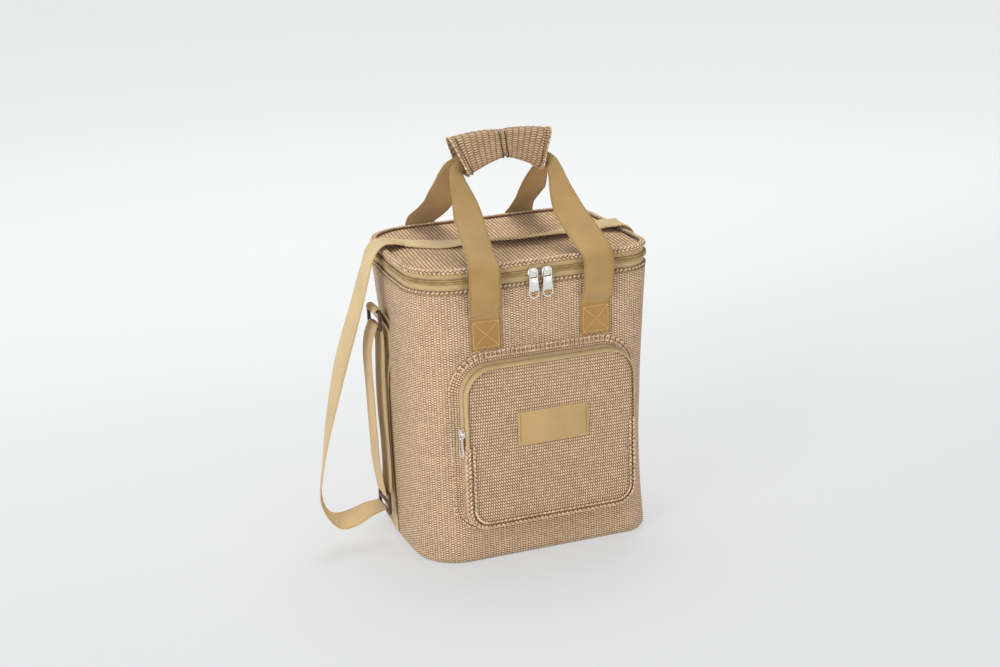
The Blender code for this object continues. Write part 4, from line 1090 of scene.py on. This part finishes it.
def make_sides():
    """The side strips, which fold over the rings, with the rings and the adjuster in moulded plastic."""
    fold = [(131.1, 214), (131.1, 236), (134.3, 248.6), *round_bar(RING_HIGH, 150, 120, 90, 60, 30, 0, -30),
            (138.5, 245.1), (133, 232.8), (133, 214)]
    low, high, half = 217, 229, 12.5
    reach = STRAP_WIDTH / 2
    for side, word in ((-1, "left"), (1, "right")):
        points, widths = [], []
        for height in (9, 45, 80, 115, 145, 170, 190):
            middle = 7 * ease((205 - height) / 60)
            rear, front = (wall_side(side, middle + y, height) for y in (reach, -reach))
            out = max((rear + front) / 2, wall_side(side, middle, height)) + 0.9
            points.append(Vector((side * out, middle, height)))
            widths.append(Vector((side * (rear - front) / STRAP_WIDTH, 1, 0)))
        points += [Vector((side * x, 0, z)) for x, z in fold]
        route, across = eased_route(points, widths + [Y_AXIS] * len(fold), 5)
        strap_piece(f"{word}_strip_webbing", route, across, "bag", [f"{word}_side_strip"])
        corners = [Vector((side * 133.95, y, z))
                   for y, z in ((-half, low), (half, low), (half, high), (-half, high))]
        threads = sewn_lines(corners, ((0, 1, 11), (3, 2, 11), (0, 2, 12), (1, 3, 12)), X_AXIS * side)
        add_piece(f"{word}_strip_stitches", beads(threads, (1.7, 0.7, 0.5)), "thread", "bag")
        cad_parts[f"{word}_ring"].data.materials[0] = looks["plastic"][0]
    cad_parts["strap_adjuster"].data.materials[0] = looks["plastic"][0]


# Studio

def make_camera():
    """The camera at the photograph's angle."""
    turn, dip, roll = math.radians(20.64), math.radians(17.53), math.radians(-1.92)
    ahead = Vector((math.sin(turn) * math.cos(dip), math.cos(turn) * math.cos(dip), -math.sin(dip)))
    right = Vector((math.cos(turn), -math.sin(turn), 0))
    up = right.cross(ahead)
    across = right * math.cos(roll) + up * math.sin(roll)
    upward = up * math.cos(roll) - right * math.sin(roll)
    lens = bpy.data.cameras.new("camera")
    lens.lens = 62.57
    lens.sensor_width = 36
    lens.clip_end = 50
    camera = linked("camera", lens)
    spot = Vector((-0.62746, -1.64879, 0.76720))
    camera.matrix_world = Matrix.Translation(spot) @ Matrix((across, upward, -ahead)).transposed().to_4x4()
    bpy.context.scene.camera = camera


def make_lamp(name, place, target, size, power):
    """A soft area lamp aimed at the bag."""
    lamp = bpy.data.lights.new(name, "AREA")
    lamp.shape = "DISK"
    lamp.size = size
    lamp.energy = power
    thing = linked(name, lamp)
    thing.location = place
    thing.rotation_euler = (Vector(target) - Vector(place)).to_track_quat("-Z", "Y").to_euler()


def seen_directly(tree):
    """1 for camera, glossy and transmission rays, else 0."""
    path = tree.nodes.new("ShaderNodeLightPath")
    camera, glossy, through = (path.outputs[word] for word in ("Is Camera Ray", "Is Glossy Ray",
                                                               "Is Transmission Ray"))
    return calc(tree, "MAXIMUM", calc(tree, "MAXIMUM", camera, glossy), through)


def make_studio():
    """A white world, a pale floor that keeps the shadow, and soft lamps."""
    world = bpy.data.worlds.new("studio")
    bpy.context.scene.world = world
    world.use_nodes = True
    tree = world.node_tree
    backdrop = tree.nodes["Background"]
    backdrop.inputs["Color"].default_value = (0.97, 0.975, 0.98, 1)
    wire(tree, backdrop.inputs["Strength"],
         shade(tree, "MapRange", seen_directly(tree), 0.0, 1.0, 0.48, 1.0))

    floor = bmesh.new()
    bmesh.ops.create_grid(floor, x_segments=4, y_segments=4, size=20)
    mesh = bpy.data.meshes.new("floor")
    floor.to_mesh(mesh)
    floor.free()
    plane = linked("floor", mesh)
    plane.location = (0, 0, -0.0006)
    material, tree, shader = blank("pale_floor", 0.9, specular=0.1)
    direct = seen_directly(tree)
    pale = blend_colour(tree, cloudy(tree, 0.8), tone(236, 236, 238), tone(242, 242, 244))
    wire(tree, shader.inputs["Base Color"], blend_colour(tree, direct, pale, tone(206, 207, 209)))
    spot = shade(tree, "TexCoord", out=3)
    away = calc(tree, "SUBTRACT", shade(tree, "VectorMath", spot, operation="LENGTH", out=1), 1.4)
    behind = calc(tree, "MAXIMUM", parts(tree, spot)[1], away)
    glow = shade(tree, "Emission", tone(254, 255, 255), fade(tree, behind, -0.3, 1.4, 0.87, 1.16))
    share = calc(tree, "MULTIPLY", direct, 0.58)
    wire(tree, tree.nodes["Material Output"].inputs[0],
         shade(tree, "MixShader", share, shader.outputs[0], glow))
    mesh.materials.append(material)

    make_lamp("key", (-2.6, -1.7, 1.3), (0, 0, 0.1), 1.6, 54)
    make_lamp("fill", (1.2, -2.5, 0.75), (0, 0, 0.05), 1.2, 12)
    make_lamp("top", (0.3, 0.9, 2.6), (0, 0, 0.2), 1.8, 40)


make_camera()
make_studio()
make_wall()
make_liner()
make_braids()
make_lid_zip()
make_lid()
make_pocket()
for word, facing in (("front", -1), ("rear", 1)):
    make_handle(word, facing)
make_grip()
make_strap()
make_sides()

view = bpy.context.scene.view_settings
view.view_transform = "Standard"
